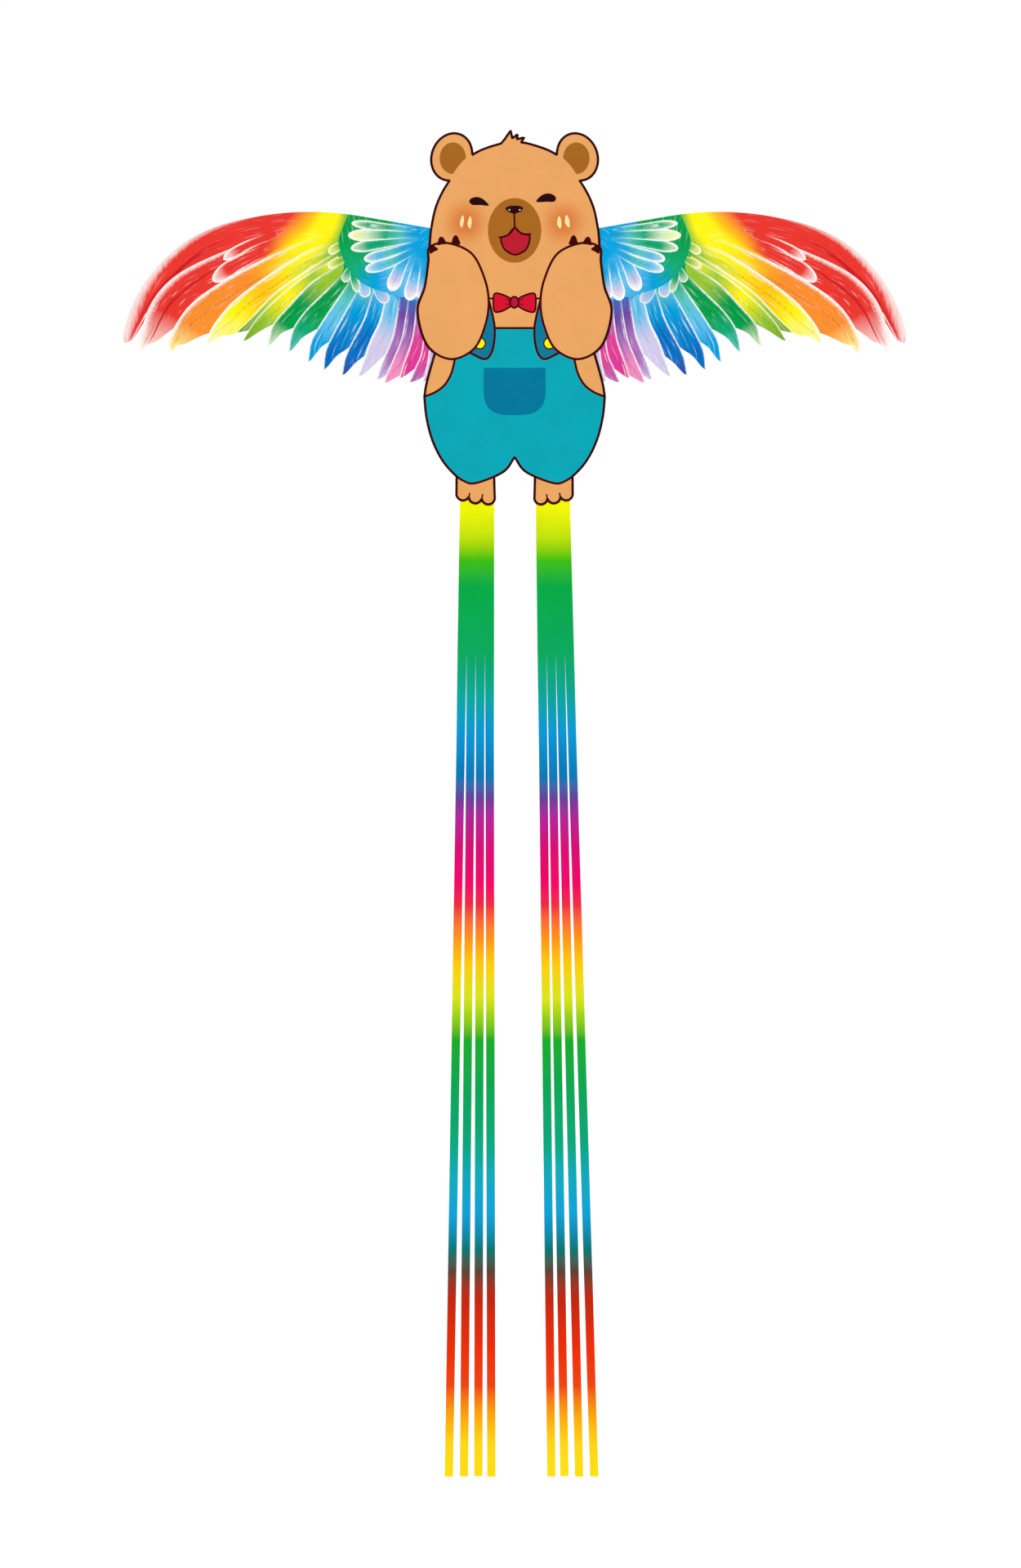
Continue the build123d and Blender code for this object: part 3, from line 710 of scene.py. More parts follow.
def bow_tie():
    art = []
    for sign in (-1, 1):
        art += drawn([np.linspace((sign * 41, -134.6), (sign * 31, -136.6), 6)], FINE_LINE)
        lobe = small((np.array(BOW_LOBE) * (-sign, 1))[::-sign])
        art += [("bow", [lobe]), *drawn([lobe], FINE_LINE, closed=True)]
        for z in (-138.5, -144):
            crease = np.linspace((sign * 8, z), (sign * 14, z + (z + 141.3) * 0.7), 5)
            art += drawn([crease], CREASE_LINE, taper=(1.0, 0.1))
    knot = ellipse((-0.4, -141.4), (6.6, 8.6), 40)
    return art + [("knot", [knot]), *drawn([knot], FINE_LINE, closed=True)]


PIECE_NAMES = {
    "fur": "body_sail_fur", "brown": "body_sail_ears_and_muzzle", "nose": "body_sail_eyes_and_nose",
    "line": "body_sail_drawn_lines", "mouth": "body_sail_mouth", "bow": "body_sail_bow",
    "knot": "body_sail_bow_knot", "teal": "body_sail_dungarees", "pocket": "body_sail_pocket",
    "strap": "body_sail_straps", "button": "body_sail_buttons", "cream": "body_sail_cheek_glints",
}
SAIL_HALF = 0.13  # half the cloth's thickness, in mm


def add_body_sail(shapes):
    art = body_artwork(shapes)
    sheet = Sheet([loop for ink, loops in art for loop in loops] + eyelet_holes(), 6.0, body_depth, SAIL_HALF)
    inks = sorted({ink for ink, loops in art})
    for ink, loops in art:
        sheet.paint(inks.index(ink), loops)
    sheet.label[~in_any(sheet.middles, shapes)] = -1
    sheet.paint(-1, eyelet_holes())
    pieces = {}
    for index, ink in enumerate(inks):
        flat, vertices, faces, smooth = sheet.island(index)
        back = np.repeat([0.0, 1.0], len(flat))
        piece = add_piece(PIECE_NAMES[ink], vertices, faces, MATERIALS[ink], smooth, {"back": back})
        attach(piece, "root")
        pieces[ink] = piece
    return pieces


# ---- long thin things ------------------------------------------------------------------------------
def swept(rings, closed_path=False):
    """Faces over equal closed rings of points, capped at the ends unless the path closes too."""
    count, size = len(rings), len(rings[0])
    faces = []
    for i in range(count if closed_path else count - 1):
        for j in range(size):
            this, after, turn = i * size, (i + 1) % count * size, (j + 1) % size
            faces.append((this + j, this + turn, after + turn, after + j))
    if not closed_path:
        faces += [tuple(range(size))[::-1], tuple(range((count - 1) * size, count * size))]
    return faces


def add_swept(name, rings, material, inside_out=False, closed_path=False):
    faces = swept(rings, closed_path)
    if inside_out:
        faces = [face[::-1] for face in faces]
    return add_piece(name, [point for ring in rings for point in ring], faces, MATERIALS[material])


def circle(centre, across, radius, count):
    """Points round a centre, in the plane of the direction across and the kite's depth."""
    depth = np.array((0, 1, 0))
    return [centre + radius * (cos(a) * across + sin(a) * depth) for a in np.arange(count) * 2 * pi / count]


def run_along(line):
    """How far along the line each of its points is."""
    return np.concatenate([[0], np.cumsum(np.linalg.norm(np.diff(line, axis=0), axis=1))])


def points_at(line, spots):
    """The points that lie so far along the line."""
    at = run_along(line)
    return np.stack([np.interp(spots, at, channel) for channel in line.T], 1)


def stitches(name, lines, body, pitch=3.4, length=2.3, thread=0.22):
    """Rows of short threads, bowed towards the back, along lines of (x, y, z)."""
    vertices, faces = [], []
    for line in lines:
        line = np.array(line, float)
        for start in np.arange(pitch / 2, run_along(line)[-1] - length, pitch):
            middle = points_at(line, start + length * np.array([0.0, 0.2, 0.8, 1.0]))
            middle[:, 1] += thread * np.array([-0.6, 0.55, 0.55, -0.6])
            ahead = middle[-1] - middle[0]
            ahead /= np.linalg.norm(ahead)
            across = np.cross(ahead, (0, 1, 0))
            across /= max(np.linalg.norm(across), 1e-6)
            rings = [circle(centre, across, thread, 5) for centre in middle]
            base = len(vertices)
            faces += [tuple(base + i for i in face) for face in swept(rings)]
            vertices += [tuple(p) for ring in rings for p in ring]
    piece = add_piece(name, vertices, faces, MATERIALS["thread"])
    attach(piece, body)


def even(line, step):
    """The same line with a point every step mm."""
    length = run_along(line)[-1]
    return points_at(line, np.linspace(0, length, max(2, int(length / step) + 1)))


def add_edge_tape(outline):
    """Bias tape folded over the sail's edge, with its row of stitches on the back."""
    line = even(np.concatenate([outline, outline[:1]]), 2.0)[:-1]
    half = TAPE_WIDTH / 2
    front = ((half, 0), (0.75 * half, -TAPE_THICK), (-0.75 * half, -TAPE_THICK))
    section = (*front, *[(-w, -back) for w, back in front])
    rings = []
    for (x, z), across in zip(line, normals(line, True)):
        y = float(body_depth(x, z))
        rings.append([(x + w * across[0], y + back, z + w * across[1]) for w, back in section])
    tape = add_swept("edge_tape", rings, "tape", closed_path=True)
    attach(tape, "root")
    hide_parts("edge_binding")
    row = [(x, float(body_depth(x, z)) + TAPE_THICK, z) for x, z in line]
    stitches("edge_tape_stitches", [row], "root", 3.2, 2.2, 0.18)


# ---- wings: one printed sheet each, drawn as (outward from the middle, z) --------------------------
HINGE_X, ROD_Y = 118.0, 3.2
SAIL_INNER_X = 107.6  # the wing's cloth is sewn to the body's back from here to the hinge
LEAD_START = (130.0, -27.5)
LEAD_RISE, LEAD_STRAIGHT_X = 9.7, 235.0
LEAD_ARCS = ((465.0, -16.4), (221.0, -79.5))  # radius, and the heading at the arc's end
WING_BOTTOM = -236.0
ROD_INSET = 3.4


def lead_line(from_x, last_heading, inset=0.0, step=1.5):
    """The leading edge from from_x out to where it heads at last_heading: a straight rise, then two arcs."""
    rise = tan(radians(LEAD_RISE))
    line = []
    for x in np.linspace(from_x, LEAD_STRAIGHT_X, 24):
        line.append((x, LEAD_START[1] + (x - LEAD_START[0]) * rise, LEAD_RISE))
    start = LEAD_RISE
    for radius, end in LEAD_ARCS:
        x, z, _ = line[-1]
        centre = (x + radius * sin(radians(start)), z - radius * cos(radians(start)))
        stop = max(end, last_heading)
        for heading in np.linspace(start, stop, int((start - stop) / step) + 2)[1:]:
            turn = radians(heading)
            line.append((centre[0] - radius * sin(turn), centre[1] + radius * cos(turn), heading))
        start = end
        if last_heading > end:
            break
    return np.array([(x + inset * sin(radians(h)), z - inset * cos(radians(h))) for x, z, h in line])


LEAD = lead_line(SAIL_INNER_X, LEAD_ARCS[-1][1])  # all of it, from the seam to the wing's tip


def to_line(points, line):
    """Each point's distance from the line, and the share of its length it has run at the nearest place."""
    a, span = line[:-1], np.diff(line, axis=0)
    squared = (span**2).sum(1)
    apart = points[:, None] - a
    t = np.clip((apart * span).sum(2) / squared, 0, 1)
    away = np.linalg.norm(apart - t[..., None] * span, axis=2)
    nearest, rows = away.argmin(1), np.arange(len(points))
    lengths = np.sqrt(squared)
    before = np.cumsum(lengths) - lengths
    return away[rows, nearest], (before[nearest] + t[rows, nearest] * lengths[nearest]) / lengths.sum()


ROOT_FADE = 0.35  # share of a feather's length over which its own ink comes in
GROUND_SHOWS_THROUGH = 4  # in this many of the outermost flight feathers


class Feather:
    """One painted feather: its outline, the inks along it, its pale rim and its quill."""

    def __init__(self, inks, rim, rim_strength=0.9, quill=0.45, streak=0.6, rim_from=0.0, under=None):
        if isinstance(inks, str):
            inks = list(zip(np.linspace(0, 1, inks.count(" ") + 1), inks.split()))
        self.stops = inks
        self.rim, self.rim_strength, self.rim_from = rim, rim_strength, rim_from
        self.quill, self.streak = quill, streak
        self.measure, self.under = None, under

    def flight(self, points, notch):
        """Runs along its leading side to a sharp tip. Its back ends at a notch, behind and above the tip."""
        self.line = curve(points, step=5.0)
        lengths = run_along(self.line)
        share = (lengths / lengths[-1])[:, None]
        from_tip = (lengths[-1] - lengths)[:, None]
        behind, above = notch
        swell = behind * np.minimum(1.35, (from_tip / above) ** 0.72) * np.minimum(1, share / 0.25) ** 0.6
        away = normals(self.line, False) * swell
        self.loop = np.concatenate([self.line, (self.line - away)[-2:0:-1]])
        self.rim_line = self.line
        self.quill_line = self.line - 0.42 * away
        return self

    def covert(self, points, half):
        """Short, with a rounded end and a rim all round it."""
        self.line = curve(points, step=2.5)
        t = np.linspace(0, 1, len(self.line))[:, None]
        rounded = np.sqrt(np.clip(1 - ((t - 0.75) / 0.25).clip(0) ** 2, 0, 1))
        side = normals(self.line, False) * (half * (0.5 + 0.5 * np.minimum(1, t / 0.75)) * rounded)
        self.loop = np.concatenate([self.line + side, (self.line - side)[-2::-1]])
        self.rim_line = self.loop
        self.quill_line = self.line
        return self

    def patch(self, points, loop, rim_line=None):
        """Ground colour inside a loop, changing along a line."""
        self.line = self.quill_line = np.array(points, float)
        self.rim_line = self.line if rim_line is None else rim_line
        self.loop = np.array(loop, float)
        return self

    def paint(self, points):
        """The ink at each point, in linear light. What lies under a feather shows through at its root."""
        along = to_line(points, self.line)[1]
        shade = along if self.measure is None else self.measure(points)
        places, inks = zip(*[(place, linear(ink)) for place, ink in self.stops])
        own = np.stack([np.interp(shade, places, channel) for channel in np.transpose(inks)], 1)
        if self.under is None:
            return own
        share = np.clip(along / ROOT_FADE, 0, 1)[:, None]
        return self.under.paint(points) * (1 - share) + own * share

    def fields(self, points):
        """Everything the feather print reads, at each point."""
        along = to_line(points, self.line)[1]
        edge, rim_share = to_line(points, self.rim_line)
        quill = to_line(points, self.quill_line)[0]
        run = np.linalg.norm(np.diff(self.line, axis=0), axis=1).sum()
        if self.rim_line is self.loop:
            rim_share = along
        grow = np.clip((rim_share - self.rim_from) / 0.3, 0, 1)
        return {
            "paint": np.concatenate([self.paint(points), np.ones((len(points), 1))], 1),
            "edge": edge, "along": along * run, "quill_mm": quill,
            "rim_mm": np.interp(rim_share, [self.rim_from, 1.0], self.rim).clip(0.01),
            "rim": self.rim_strength * grow, "quill": self.quill * np.clip(along / 0.3, 0, 1),
            "streak": np.full(len(points), self.streak),
        }


FLIGHT_FEATHERS = (  # leading side from root to tip; notch behind it (across, up); rim; inks from root to tip
    (((362, -32), (437, -60), (512, -96), (554, -139), (575, -199), (570, -219)), (42, 48), (4, 12),
     "red red red red blush_white"),
    (((305, -40), (387, -76), (457, -115), (502, -151), (530, -199), (527, -222)), (44, 58), (5, 7),
     "yellow amber orange orange orange lemon"),
    (((285, -50), (330, -69), (387, -106), (432, -141), (463, -179), (471, -203)), (33, 36), (6, 4.5),
     "yellow yellow amber yellow lemon"),
    (((272, -62), (325, -96), (367, -126), (400, -161), (426, -187)), (24, 45), (5, 2),
     "yellow yellow yellow lime olive"),
    (((270, -70), (325, -104), (365, -136), (397, -169), (417, -201)), (25, 53), (3, 2),
     "yellow lime yellow lime olive"),
    (((262, -79), (312, -111), (345, -146), (370, -176), (379, -209)), (25, 44), (4, 2.5),
     "lime lime green green mint"),
    (((255, -90), (290, -124), (320, -154), (340, -184), (347, -218)), (27, 48), (4, 2.5),
     "green green green emerald sea"),
    (((247, -100), (275, -141), (297, -174), (312, -201), (317, -233)), (24, 42), (4, 2.0),
     "green sea sky cyan cyan"),
    (((235, -112), (260, -156), (279, -191), (290, -216), (293, -245)), (31, 50), (4, 2.0),
     "sea cyan azure blue blue"),
    (((214, -112), (230, -164), (246, -196), (259, -224), (265, -254)), (26, 42), (4, 2.0),
     "sky cyan blue blue navy"),
    (((196, -122), (207, -169), (221, -199), (232, -229), (241, -256)), (28, 45), (5, 4),
     "sky sky lilac lilac lilac"),
    (((176, -125), (185, -184), (196, -216), (206, -241), (212, -261)), (20, 24), (4, 3),
     "blue violet mauve mauve lilac"),
    (((162, -130), (172, -191), (184, -224), (195, -249), (200, -265)), (22, 24), (3, 2.5),
     "blue violet mauve pink pink"),
    (((150, -135), (156, -191), (165, -221), (172, -241), (177, -258)), (20, 24), (3, 2.5),
     "violet mauve magenta magenta magenta"),
    (((137, -150), (142, -214), (152, -241), (162, -264)), (22, 24), (3, 2.5),
     "violet magenta magenta mauve"),
    (((128, -160), (131, -215), (136, -245), (141, -263)), (24, 24), (3, 2.5), "violet mauve lilac lilac"),
)
DARK_STREAKS = (  # fine dark quills in the red feathers, root to tip, and how wide
    (((415, -35), (470, -56), (530, -104), (567, -152), (590, -198)), 2.6),
    (((440, -50), (500, -80), (552, -142), (586, -200)), 1.8),
)
SECOND_STREAK = (((430, -72), (482, -104), (530, -146), (561, -206)), 2.0)
SMALL_COVERTS = (  # centre line from root to tip, half width, inks
    (((252, -46), (270, -56), (285, -66)), 7, "lime lime lemon"),
    (((252, -71), (270, -79), (286, -87)), 7, "green lime lemon"),
    (((245, -84), (255, -96), (261, -111)), 7, "green emerald mint"),
    (((250, -89), (245, -109), (238, -126)), 7, "green emerald mint"),
    (((238, -96), (230, -114), (229, -134)), 9, "cyan sky lilac"),
    (((218, -99), (208, -124), (194, -142)), 9, "cyan sky lilac"),
)
RED_COVERTS = (
    (((350, -30), (402, -51), (427, -64), (446, -76)), 8.0, "red red red red blush_white"),
    (((350, -46), (412, -76), (440, -92), (462, -109)), 12.0, "orange red red red red blush_white"),
)
SHOULDER_COVERTS = (
    (((138, -84), (140, -109), (145, -136)), 10, "cyan cyan sky lilac white"),
    (((148, -74), (154, -104), (162, -139)), 10.5, "cyan cyan sky lilac white"),
    (((160, -61), (176, -91), (190, -124)), 11, "cyan cyan sky lilac white"),
    (((150, -60), (187, -79), (229, -92)), 9, "cyan cyan sea sky mist"),
    (((150, -52), (190, -65), (231, -76)), 8.5, "cyan cyan sea sky mist"),
    (((145, -44), (200, -51), (251, -59)), 9, "cyan sea emerald emerald mint"),
    (((145, -37), (200, -38), (255, -39)), 9.5, "cyan sea emerald mint lemon"),
    (((145, -31), (200, -26), (250, -20)), 7, "cyan sea emerald emerald mint"),
)
SHOULDER_EDGE = (
    (252, -1), (264, -29), (270, -51), (262, -76), (252, -94), (238, -108), (222, -118), (204, -124),
    (182, -132), (162, -134), (142, -140), (SAIL_INNER_X, -150),
)
SHOULDER_TURN = ((262, -10), (255, -60), (238, -95), (205, -110), (160, -90), (108, -50))
GROUND_INKS = (  # how far out each is reached, in mm
    (150, "cyan"), (190, "sea"), (212, "emerald"), (224, "green"), (247, "green"), (258, "lime"),
    (268, "yellow"), (290, "yellow"), (303, "amber"), (318, "orange"), (334, "red"),
)
GROUND_TRAILING = (
    (597, -204), (587, -200), (565, -159), (530, -125), (462, -115), (362, -125), (237, -141), (150, -170),
)


def slanted_outward(points):
    """How far out the ground's bands of colour are: upright near the body, leaning back further out."""
    u, z = points[:, 0], points[:, 1]
    return u + z * np.interp(u, [255, 340], [0.15, 0.9])


def feathers():
    """Every feather of one wing, bottom layer first."""
    ground = Feather(GROUND_INKS, (0.0, 18.0), 0.74, 0.0, 0.25, rim_from=0.45)
    ground.measure = slanted_outward
    loop = np.concatenate([LEAD, GROUND_TRAILING, [(SAIL_INNER_X, -200)]])
    art = [ground.patch([(SAIL_INNER_X, -40), (600, -40)], loop, LEAD)]

    def dark(points, width):
        return Feather("red deep_red deep_red red", (0, 0), 0, 0, 0.1).flight(points, (width, 20))

    def coverts(table, rim, *settings, **more):
        return [Feather(inks, rim, *settings, **more).covert(points, half) for points, half, inks in table]

    art += [dark(*streak) for streak in DARK_STREAKS]
    for number, (points, notch, rim, inks) in enumerate(FLIGHT_FEATHERS):
        strength = 0.78 if number == 0 else 0.9
        under = ground if number < GROUND_SHOWS_THROUGH else None
        art.append(Feather(inks, rim, strength, under=under).flight(points, notch))
        if number == 0:
            art.append(dark(*SECOND_STREAK))
            art += coverts(RED_COVERTS, (1.5, 4.5), 0.9, 0.2, rim_from=0.3, under=ground)
    art += coverts(SMALL_COVERTS, (1, 3), 0.7, 0.2)
    shoulder = Feather("green green emerald cyan sky cyan cyan", (0, 0), 0, 0, 0.3)
    loop = np.concatenate([curve(SHOULDER_EDGE, step=4.0), [(SAIL_INNER_X, 0)]])
    art.append(shoulder.patch(curve(SHOULDER_TURN, step=6.0), loop))
    return art + coverts(SHOULDER_COVERTS, (1.5, 4.5), 0.85, 0.3, rim_from=0.1, under=shoulder)


SEAM_REACH = 14.0  # the cloth leaves the body's back over this much beyond the hinge
TAUT_BELOW_LEAD, SLACK_REACH = 14.0, 90.0
FAN_CENTRE = (150.0, -60.0)  # the ripples run out from here


def wing_depth(u, z):
    """The wing cloth's middle: behind the body's back at the seam, then softly rippled along its feathers."""
    seam = np.clip((u - HINGE_X) / SEAM_REACH, 0, 1)
    below = np.clip((np.interp(u, *LEAD.T) - z - TAUT_BELOW_LEAD) / SLACK_REACH, 0, 1)
    out = np.clip((u - FAN_CENTRE[0]) / 60.0, 0, 1)
    fan = np.arctan2(FAN_CENTRE[1] - z, u - FAN_CENTRE[0] + 1e-6)
    folds = np.sin(9.0 * fan + 0.4) + 0.5 * np.sin(17.0 * fan + 1.0)
    return 0.45 + 0.45 * seam + out * below**1.3 * (1.6 + 1.9 * folds)


def wing_sheet():
    """The printed sheet and its feathers, with the cloth above the leading edge left off."""
    art = feathers()
    below = np.concatenate([LEAD, [(610, -210), (610, -300), (SAIL_INNER_X, -300)]])
    free_x = HINGE_X + 2
    root = np.array([
        (SAIL_INNER_X, 0), (SAIL_INNER_X, -300),
        (free_x, -300), (free_x, WING_BOTTOM), (SAIL_INNER_X, WING_BOTTOM),
    ], float)
    sheet = Sheet([below, root, *[feather.loop for feather in art]], 4.2, wing_depth, SAIL_HALF)
    for index, feather in enumerate(art):
        sheet.paint(index, [feather.loop])
    u, z = sheet.middles.T
    cut = ((u < free_x) & (z < WING_BOTTOM)) | (u < SAIL_INNER_X)
    sheet.label[cut | ~inside(sheet.middles, [below])] = -1
    return sheet, art


def add_wings():
    sheet, art = wing_sheet()
    kept = np.flatnonzero(sheet.label >= 0)
    used, triangles = np.unique(sheet.triangles[kept], return_inverse=True)
    triangles = triangles.reshape(-1, 3)
    flat, n = sheet.points[used], len(used)
    rim = border(triangles)
    corner_point = np.concatenate([
        triangles.ravel(), triangles[:, ::-1].ravel(), np.array([(b, a, a, b) for a, b in rim]).ravel()
    ])
    owner = np.concatenate([np.repeat(np.arange(len(kept)), 3)] * 2 + [np.repeat(list(rim.values()), 4)])
    corner_label = sheet.label[kept][owner]
    fields = {}
    for index, feather in enumerate(art):
        mine = np.flatnonzero(corner_label == index)
        if not len(mine):
            continue
        places, back = np.unique(corner_point[mine], return_inverse=True)
        found = feather.fields(flat[places])
        found["seed"] = np.full(len(places), 7.3 * index)
        for key, values in found.items():
            whole = fields.setdefault(key, np.zeros((len(corner_point), *values.shape[1:])))
            whole[mine] = values[back]
    pieces = []
    for side, sign in SIDES:
        piece = add_piece(
            f"{side}_wing_cloth", sheet.both_sides(flat, sign), two_faced(triangles, n, rim),
            MATERIALS["feather"], 2 * len(kept), {"back": np.repeat([0.0, 1.0], n)},
        )
        write_attributes(piece.data, "CORNER", fields)
        if sign < 0:
            piece.data.flip_normals()
        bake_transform(piece)
        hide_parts(f"{side}_wing_sail")
        pieces.append(piece)
    return pieces


HEM_SECTION = (  # in from the leading edge, and towards the back
    (0.15, 1.05), (0.7, 2.6), (1.6, 4.6), (3.4, 5.55), (5.1, 4.8), (6.1, 3.0), (7.3, 1.5), (9.0, 1.22),
    (13.0, 1.2),
)
HEM_THICK, HEM_SEAM_Y, HEM_SEAMS = 0.14, 1.24, (8.6, 11.8)
SLEEVE_FROM, SLEEVE_TO, SLEEVE_BEND = 105.0, 128.5, 9.0
SLEEVE_WALLS = ((2.5, 1), (1.56, -1))  # radius, and which way round the path it is swept


def add_wing_pocket(side, sign):
    """The hem along the leading edge, folded back round the rod and stitched down."""
    line = lead_line(131.0, -55.0)
    ring = [*HEM_SECTION, *[(inset, y - HEM_THICK) for inset, y in HEM_SECTION[::-1]]]
    rings = []
    for p, s in zip(line, normals(line, False)):
        rings.append([(sign * (p[0] - w * s[0]), y, p[1] - w * s[1]) for w, y in ring])
    piece = add_swept(f"{side}_wing_hem", rings, "black_tape", sign < 0)
    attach(piece, f"{side}_wing")
    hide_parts(f"{side}_wing_pocket")
    rows = [[(sign * x, HEM_SEAM_Y, z) for x, z in lead_line(132.0, -54.0, inset)] for inset in HEM_SEAMS]
    stitches(f"{side}_wing_hem_stitches", rows, f"{side}_wing")


def add_sleeve(side, sign):
    """The soft tube, bent at the hinge, that joins the body's centre spar to the wing's rod."""
    bend_z = float(np.interp(HINGE_X, *lead_line(SAIL_INNER_X, -79, ROD_INSET).T))
    path = []
    for x in np.linspace(SLEEVE_FROM, SLEEVE_TO, 26):
        bent = 0.5 * (x - HINGE_X + sqrt((x - HINGE_X) ** 2 + SLEEVE_BEND))
        path.append((x, bend_z + tan(radians(LEAD_RISE)) * bent))
    path = np.array(path)
    across = normals(path, False)
    rings = []
    for radius, order in SLEEVE_WALLS:
        for p, s in zip(path[::order], across[::order]):
            centre, way = np.array((sign * p[0], ROD_Y, p[1])), np.array((sign * s[0], 0, s[1]))
            rings.append(circle(centre, way, radius, 20))
    piece = add_swept(f"{side}_joint_tube", rings, "vinyl", sign < 0, closed_path=True)
    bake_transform(piece)
    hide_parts(f"{side}_joint_sleeve")


# ---- tails: a header behind each foot, slit into four strips ---------------------------------------
TAIL_TOP, TAIL_HINGE, SLIT, TAIL_END = -437.0, -455.6, -680.0, -1938.8
HEADER_TOP = {"left": (-83.8, -31.2), "right": (32.5, 85.0)}
HEADER_BOTTOM = {"left": (-87.5, -31.3), "right": (35.0, 91.2)}
STRIP_TOPS = {"left": (-80.4, -66.4, -52.4, -38.4), "right": (42.1, 56.1, 70.1, 84.1)}
STRIP_ENDS = {"left": (-100.6, -77.5, -55.6, -35.6), "right": (56.3, 76.3, 98.8, 121.9)}
STRIP_TOP_WIDTH, STRIP_WIDTH = 13.98, 13.0
STRIP_NARROWS = 150.0  # the cut edges curl in over this much below the slit's top
TAIL_Y = 0.6


def ribbon(name, edges, top, bottom, ripple, columns=4, step=7.0):
    """A hanging ribbon between two edges given at each height as (low x, high x)."""
    heights = np.linspace(top, bottom, int((top - bottom) / step) + 1)
    front = []
    for z in heights:
        low, high = edges(z)
        for s in np.linspace(0, 1, columns + 1):
            front.append((low + (high - low) * s, TAIL_Y + ripple(s, z), z))
    vertices = [(x, y + h, z) for h in (-SAIL_HALF, SAIL_HALF) for x, y, z in front]
    n, wide, last = len(front), columns + 1, (len(heights) - 1) * (columns + 1)
    faces = []
    for a in range(0, last, wide):
        faces += [(a + j, a + j + wide, a + j + wide + 1, a + j + 1) for j in range(columns)]
    faces += [tuple(v + n for v in face[::-1]) for face in faces]
    smooth = len(faces)
    rim = [*range(columns), *range(columns, last, wide)]
    rim += [*range(last + columns, last, -1), *range(last, 0, -wide)]
    for a, b in zip(rim, [*rim[1:], 0]):
        faces.append((a, b, b + n, a + n))
    attributes = {"back": np.repeat([0.0, 1.0], n), "height": [z * MM for _, _, z in vertices]}
    return add_piece(name, vertices, faces, MATERIALS["ribbon"], smooth, attributes)


def portion(value, span):
    """value / span, kept between 0 and 1."""
    return min(1.0, max(0.0, value / span))


def add_tail(side, sign):
    def header_edges(z):
        t = portion(TAIL_HINGE - z, TAIL_HINGE - SLIT)
        return [a + (b - a) * t for a, b in zip(HEADER_TOP[side], HEADER_BOTTOM[side])]

    def header_ripple(s, z):
        free = portion(TAIL_HINGE - 8 - z, 80.0) * portion(z - SLIT, 50.0)
        return free * (1.2 * sin(2.6 * pi * s + z / 60.0) + 1.4 * sin(z / 47.0 + sign))

    header = ribbon(f"{side}_tail_header_cloth", header_edges, TAIL_TOP, SLIT, header_ripple, 12)
    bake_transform(header)
    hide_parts(f"{side}_tail_tab", f"{side}_tail_header")
    for number, (upper, lower) in enumerate(zip(STRIP_TOPS[side], STRIP_ENDS[side]), 1):
        phase = 1.7 * number + sign

        def strip_edges(z):
            middle = upper + (lower - upper) * (SLIT - z) / (SLIT - TAIL_END)
            t = portion(SLIT - z, STRIP_NARROWS)
            half = (STRIP_TOP_WIDTH + (STRIP_WIDTH - STRIP_TOP_WIDTH) * t * t * (3 - 2 * t)) / 2
            return middle - half, middle + half

        def strip_ripple(s, z):
            wave = 2.6 * sin(z / 71.0 + phase) + 1.3 * sin(z / 33.0 + 2.3 * phase)
            twist = 1.9 * (s - 0.5) * sin(z / 120.0 + phase)
            return portion(SLIT - z, 200.0) * (wave + twist)

        strip = ribbon(f"{side}_tail_streamer_{number}", strip_edges, SLIT, TAIL_END, strip_ripple)
        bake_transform(strip)
        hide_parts(f"{side}_tail_strip_{number}")


# ---- sewn fittings on the sail's back --------------------------------------------------------------
ROD_ENDS = [("spine_top_pocket", (0, 92), (0, 1)), ("spine_bottom_pocket", (0, -367), (0, -1))]
for side, sign in SIDES:
    ROD_ENDS.append((f"{side}_ear_pocket", (sign * 112, 66), (sign, 0)))
    ROD_ENDS.append((f"{side}_hip_pocket", (sign * 129, -290), (sign, 0)))
    ROD_ENDS.append((f"{side}_foot_pocket", (sign * 60, -430), (0, -1)))


WEBBING_HALF = (  # out from the rod, and towards the back
    (0.0, 5.75), (0.9, 5.55), (1.7, 4.95), (2.3, 3.9), (2.6, 2.8), (2.9, 1.7), (3.6, 1.0), (4.8, 0.75),
    (6.5, 0.7),
)
WEBBING_THICK, WEBBING_Y = 0.4, 0.3  # its cloth, and where the sail's back is
WEBBING_STEPS = (0, 0.4, 4, 8, 12, 15, 16, 17, 18, 19)  # mm in from the pocket's mouth
ROD_REACHES = 14.0  # mm in, where the rod ends
WEBBING_CLOSES = 14.8, 3.2  # mm in, where it begins to be pressed flat, and over what length
WEBBING_SEWN = (  # height off the sail; where each row starts and stops, past the rod's end and across
    (0.78, (-13.2, -5), (4.4, -5)), (0.78, (-13.2, 5), (4.4, 5)), (1.2, (3.9, -5.2), (3.9, 5.2)),
)
SEAM_LOW, SEAM_HIGH, SEAM_BEVEL = 107.4, 117.4, 0.4
ZIGZAG, ZIGZAG_R, ZIGZAG_Y = 72, (12.6, 14.6), 0.58


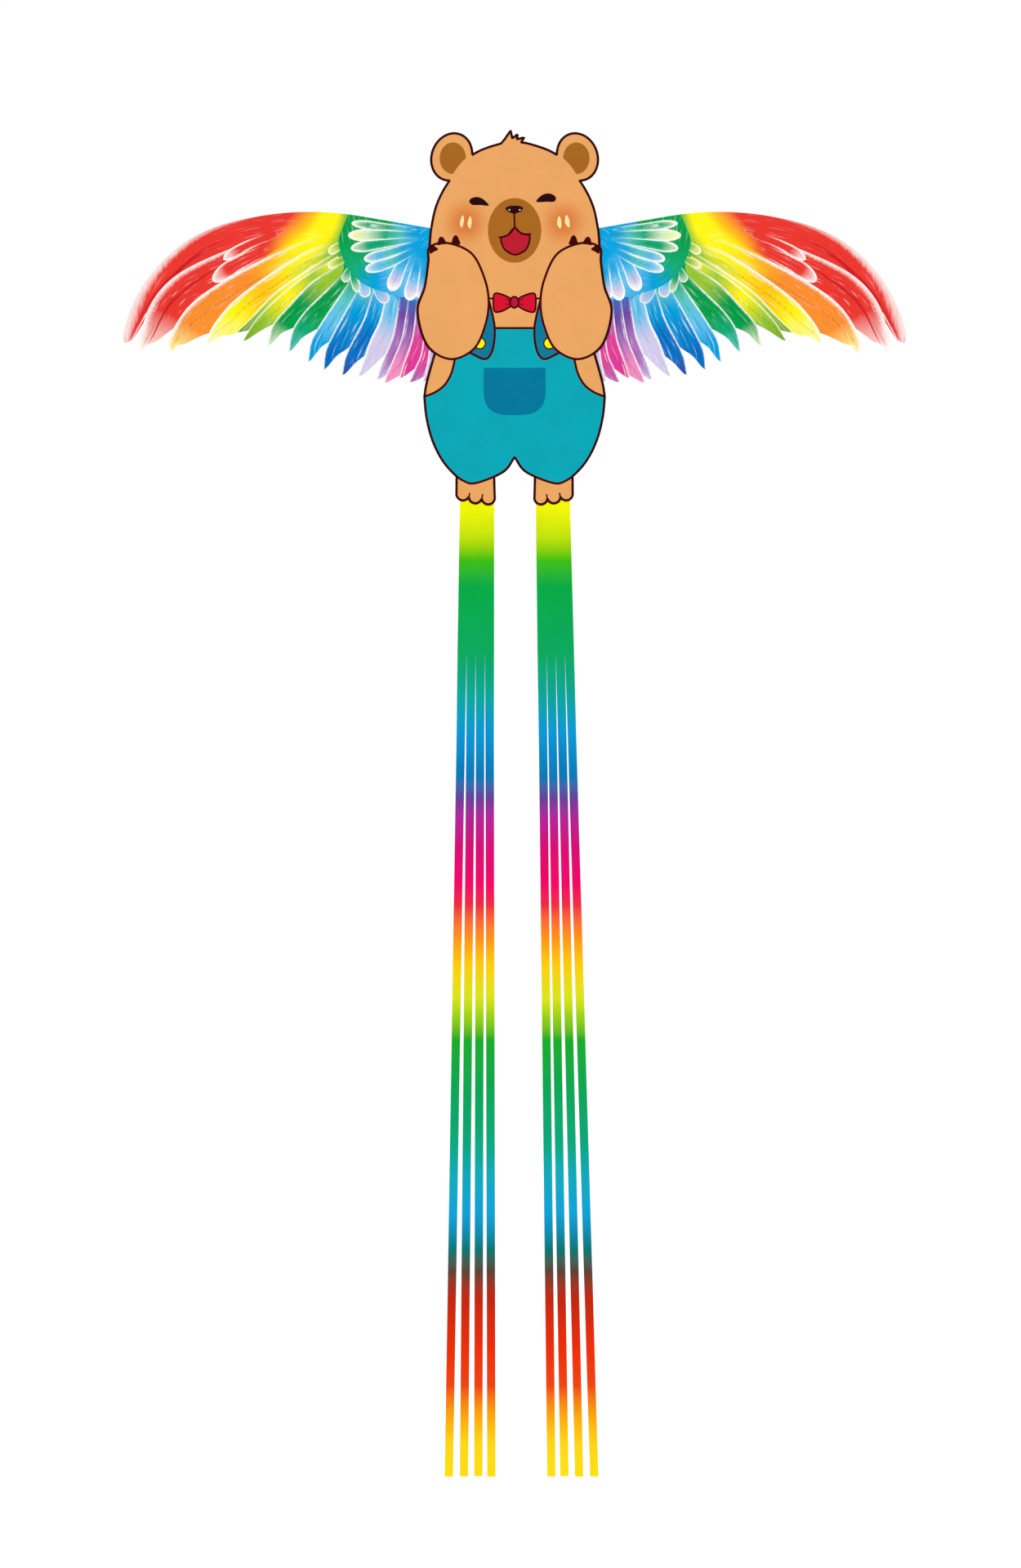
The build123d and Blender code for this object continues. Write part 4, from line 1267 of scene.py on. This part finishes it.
def add_rod_end_pocket(node, end, direction):
    """A square of webbing folded over the rod's capped end and stitched to the sail on three sides."""
    end, ahead = np.array(end), np.array(direction, float)
    across = np.array((-direction[1], direction[0]), float)
    outer = [(-w, y) for w, y in WEBBING_HALF[:0:-1]] + list(WEBBING_HALF)
    inner = [(w * 0.93 if abs(w) < 6 else w, max(WEBBING_Y, y - WEBBING_THICK)) for w, y in outer[::-1]]
    rings = []
    for s in WEBBING_STEPS:
        shut = 1 - 0.84 * portion(s - WEBBING_CLOSES[0], WEBBING_CLOSES[1]) ** 1.4
        wander = 1 + 0.0015 * sin(5 * s)
        ring = []
        for w, y in outer + inner:
            x, z = end + (s - ROD_REACHES) * ahead + w * wander * across
            ring.append((x, WEBBING_Y + (y - WEBBING_Y) * shut, z))
        rings.append(ring)
    piece = add_swept(f"{node}_webbing", rings, "black_tape")
    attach(piece, "root")
    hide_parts(node)
    rows = []
    for y, start, stop in WEBBING_SEWN:
        spots = [end + s * ahead + w * across for s, w in (start, stop)]
        rows.append([(x, y, z) for x, z in spots])
    return rows


def add_seam_tape(side, sign):
    """Grosgrain over the seam where the wing's cloth meets the body's back."""
    section = (
        (SEAM_LOW, 0.62), (SEAM_LOW + SEAM_BEVEL, 0.95), (SEAM_HIGH - SEAM_BEVEL, 0.95), (SEAM_HIGH, 0.62),
    )
    rings = [[(sign * x, y, z) for x, y in section] for z in np.linspace(-41.0, -235.0, 60)]
    piece = add_swept(f"{side}_seam_grosgrain", rings, "black_tape", sign > 0)
    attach(piece, "root")
    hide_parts(f"{side}_seam_tape")
    return [[(sign * x, 0.98, -42.0), (sign * x, 0.98, -234.0)] for x in (SEAM_LOW + 1.6, SEAM_HIGH - 1.6)]


EYELET_X, EYELET_HOLE_R, TOW_PATCH_R = 8.0, 2.32, 17.0


def eyelet_holes():
    return [ellipse((x, 0), (EYELET_HOLE_R, EYELET_HOLE_R), 24) for x in (-EYELET_X, EYELET_X)]


def add_tow_patch():
    """The round reinforcement behind the tow point, pinked round its edge and sewn with a zigzag."""
    angle = np.linspace(0, 2 * pi, 240, endpoint=False)
    radius = TOW_PATCH_R - 0.5 + 0.45 * np.abs(((angle * 30 / pi) % 2) - 1)
    edge = np.stack([radius * np.cos(angle), radius * np.sin(angle)], 1)
    holes = eyelet_holes()
    patch = Sheet([edge, *holes], 3.0, lambda x, z: 0.4 + 0 * x, 0.14)
    patch.paint(0, [edge])
    patch.paint(-1, holes)
    _, vertices, faces, smooth = patch.island(0)
    piece = add_piece("tow_patch_cloth", vertices, faces, MATERIALS["tape"], smooth)
    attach(piece, "root")
    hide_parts("tow_patch")
    turns = np.arange(ZIGZAG) * 2 * pi / ZIGZAG
    zigzag = [(ZIGZAG_R[i % 2] * cos(a), ZIGZAG_Y, ZIGZAG_R[i % 2] * sin(a)) for i, a in enumerate(turns)]
    return [zigzag + zigzag[:1]]


shapes = silhouette_shapes()
outline = union_outline(shapes)
sail = add_body_sail(shapes)
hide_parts("body_sail")
add_edge_tape(outline)
wings = add_wings()
sewn = add_tow_patch()
for side, sign in SIDES:
    add_wing_pocket(side, sign)
    add_sleeve(side, sign)
    add_tail(side, sign)
    sewn += add_seam_tape(side, sign)
for node, end, direction in ROD_ENDS:
    sewn += add_rod_end_pocket(node, end, direction)
stitches("sail_back_stitches", sewn, "root", 3.0, 2.1, 0.2)


# ---- the CAD's own pieces, and the end ---------------------------------------------------------------
NODE_MATERIALS = (  # the first of these words in a node's name gives its material
    ("eyelet", "enamel"), ("connector", "connector"), ("cap", "vinyl"), ("sleeve", "vinyl"),
    ("spine", "rod"), ("spar", "rod"), ("batten", "rod"), ("rod", "rod"),
)
for node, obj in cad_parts.items():
    found = [material for word, material in NODE_MATERIALS if word in node]
    if found:
        obj.data.materials.clear()
        obj.data.materials.append(MATERIALS[found[0]])
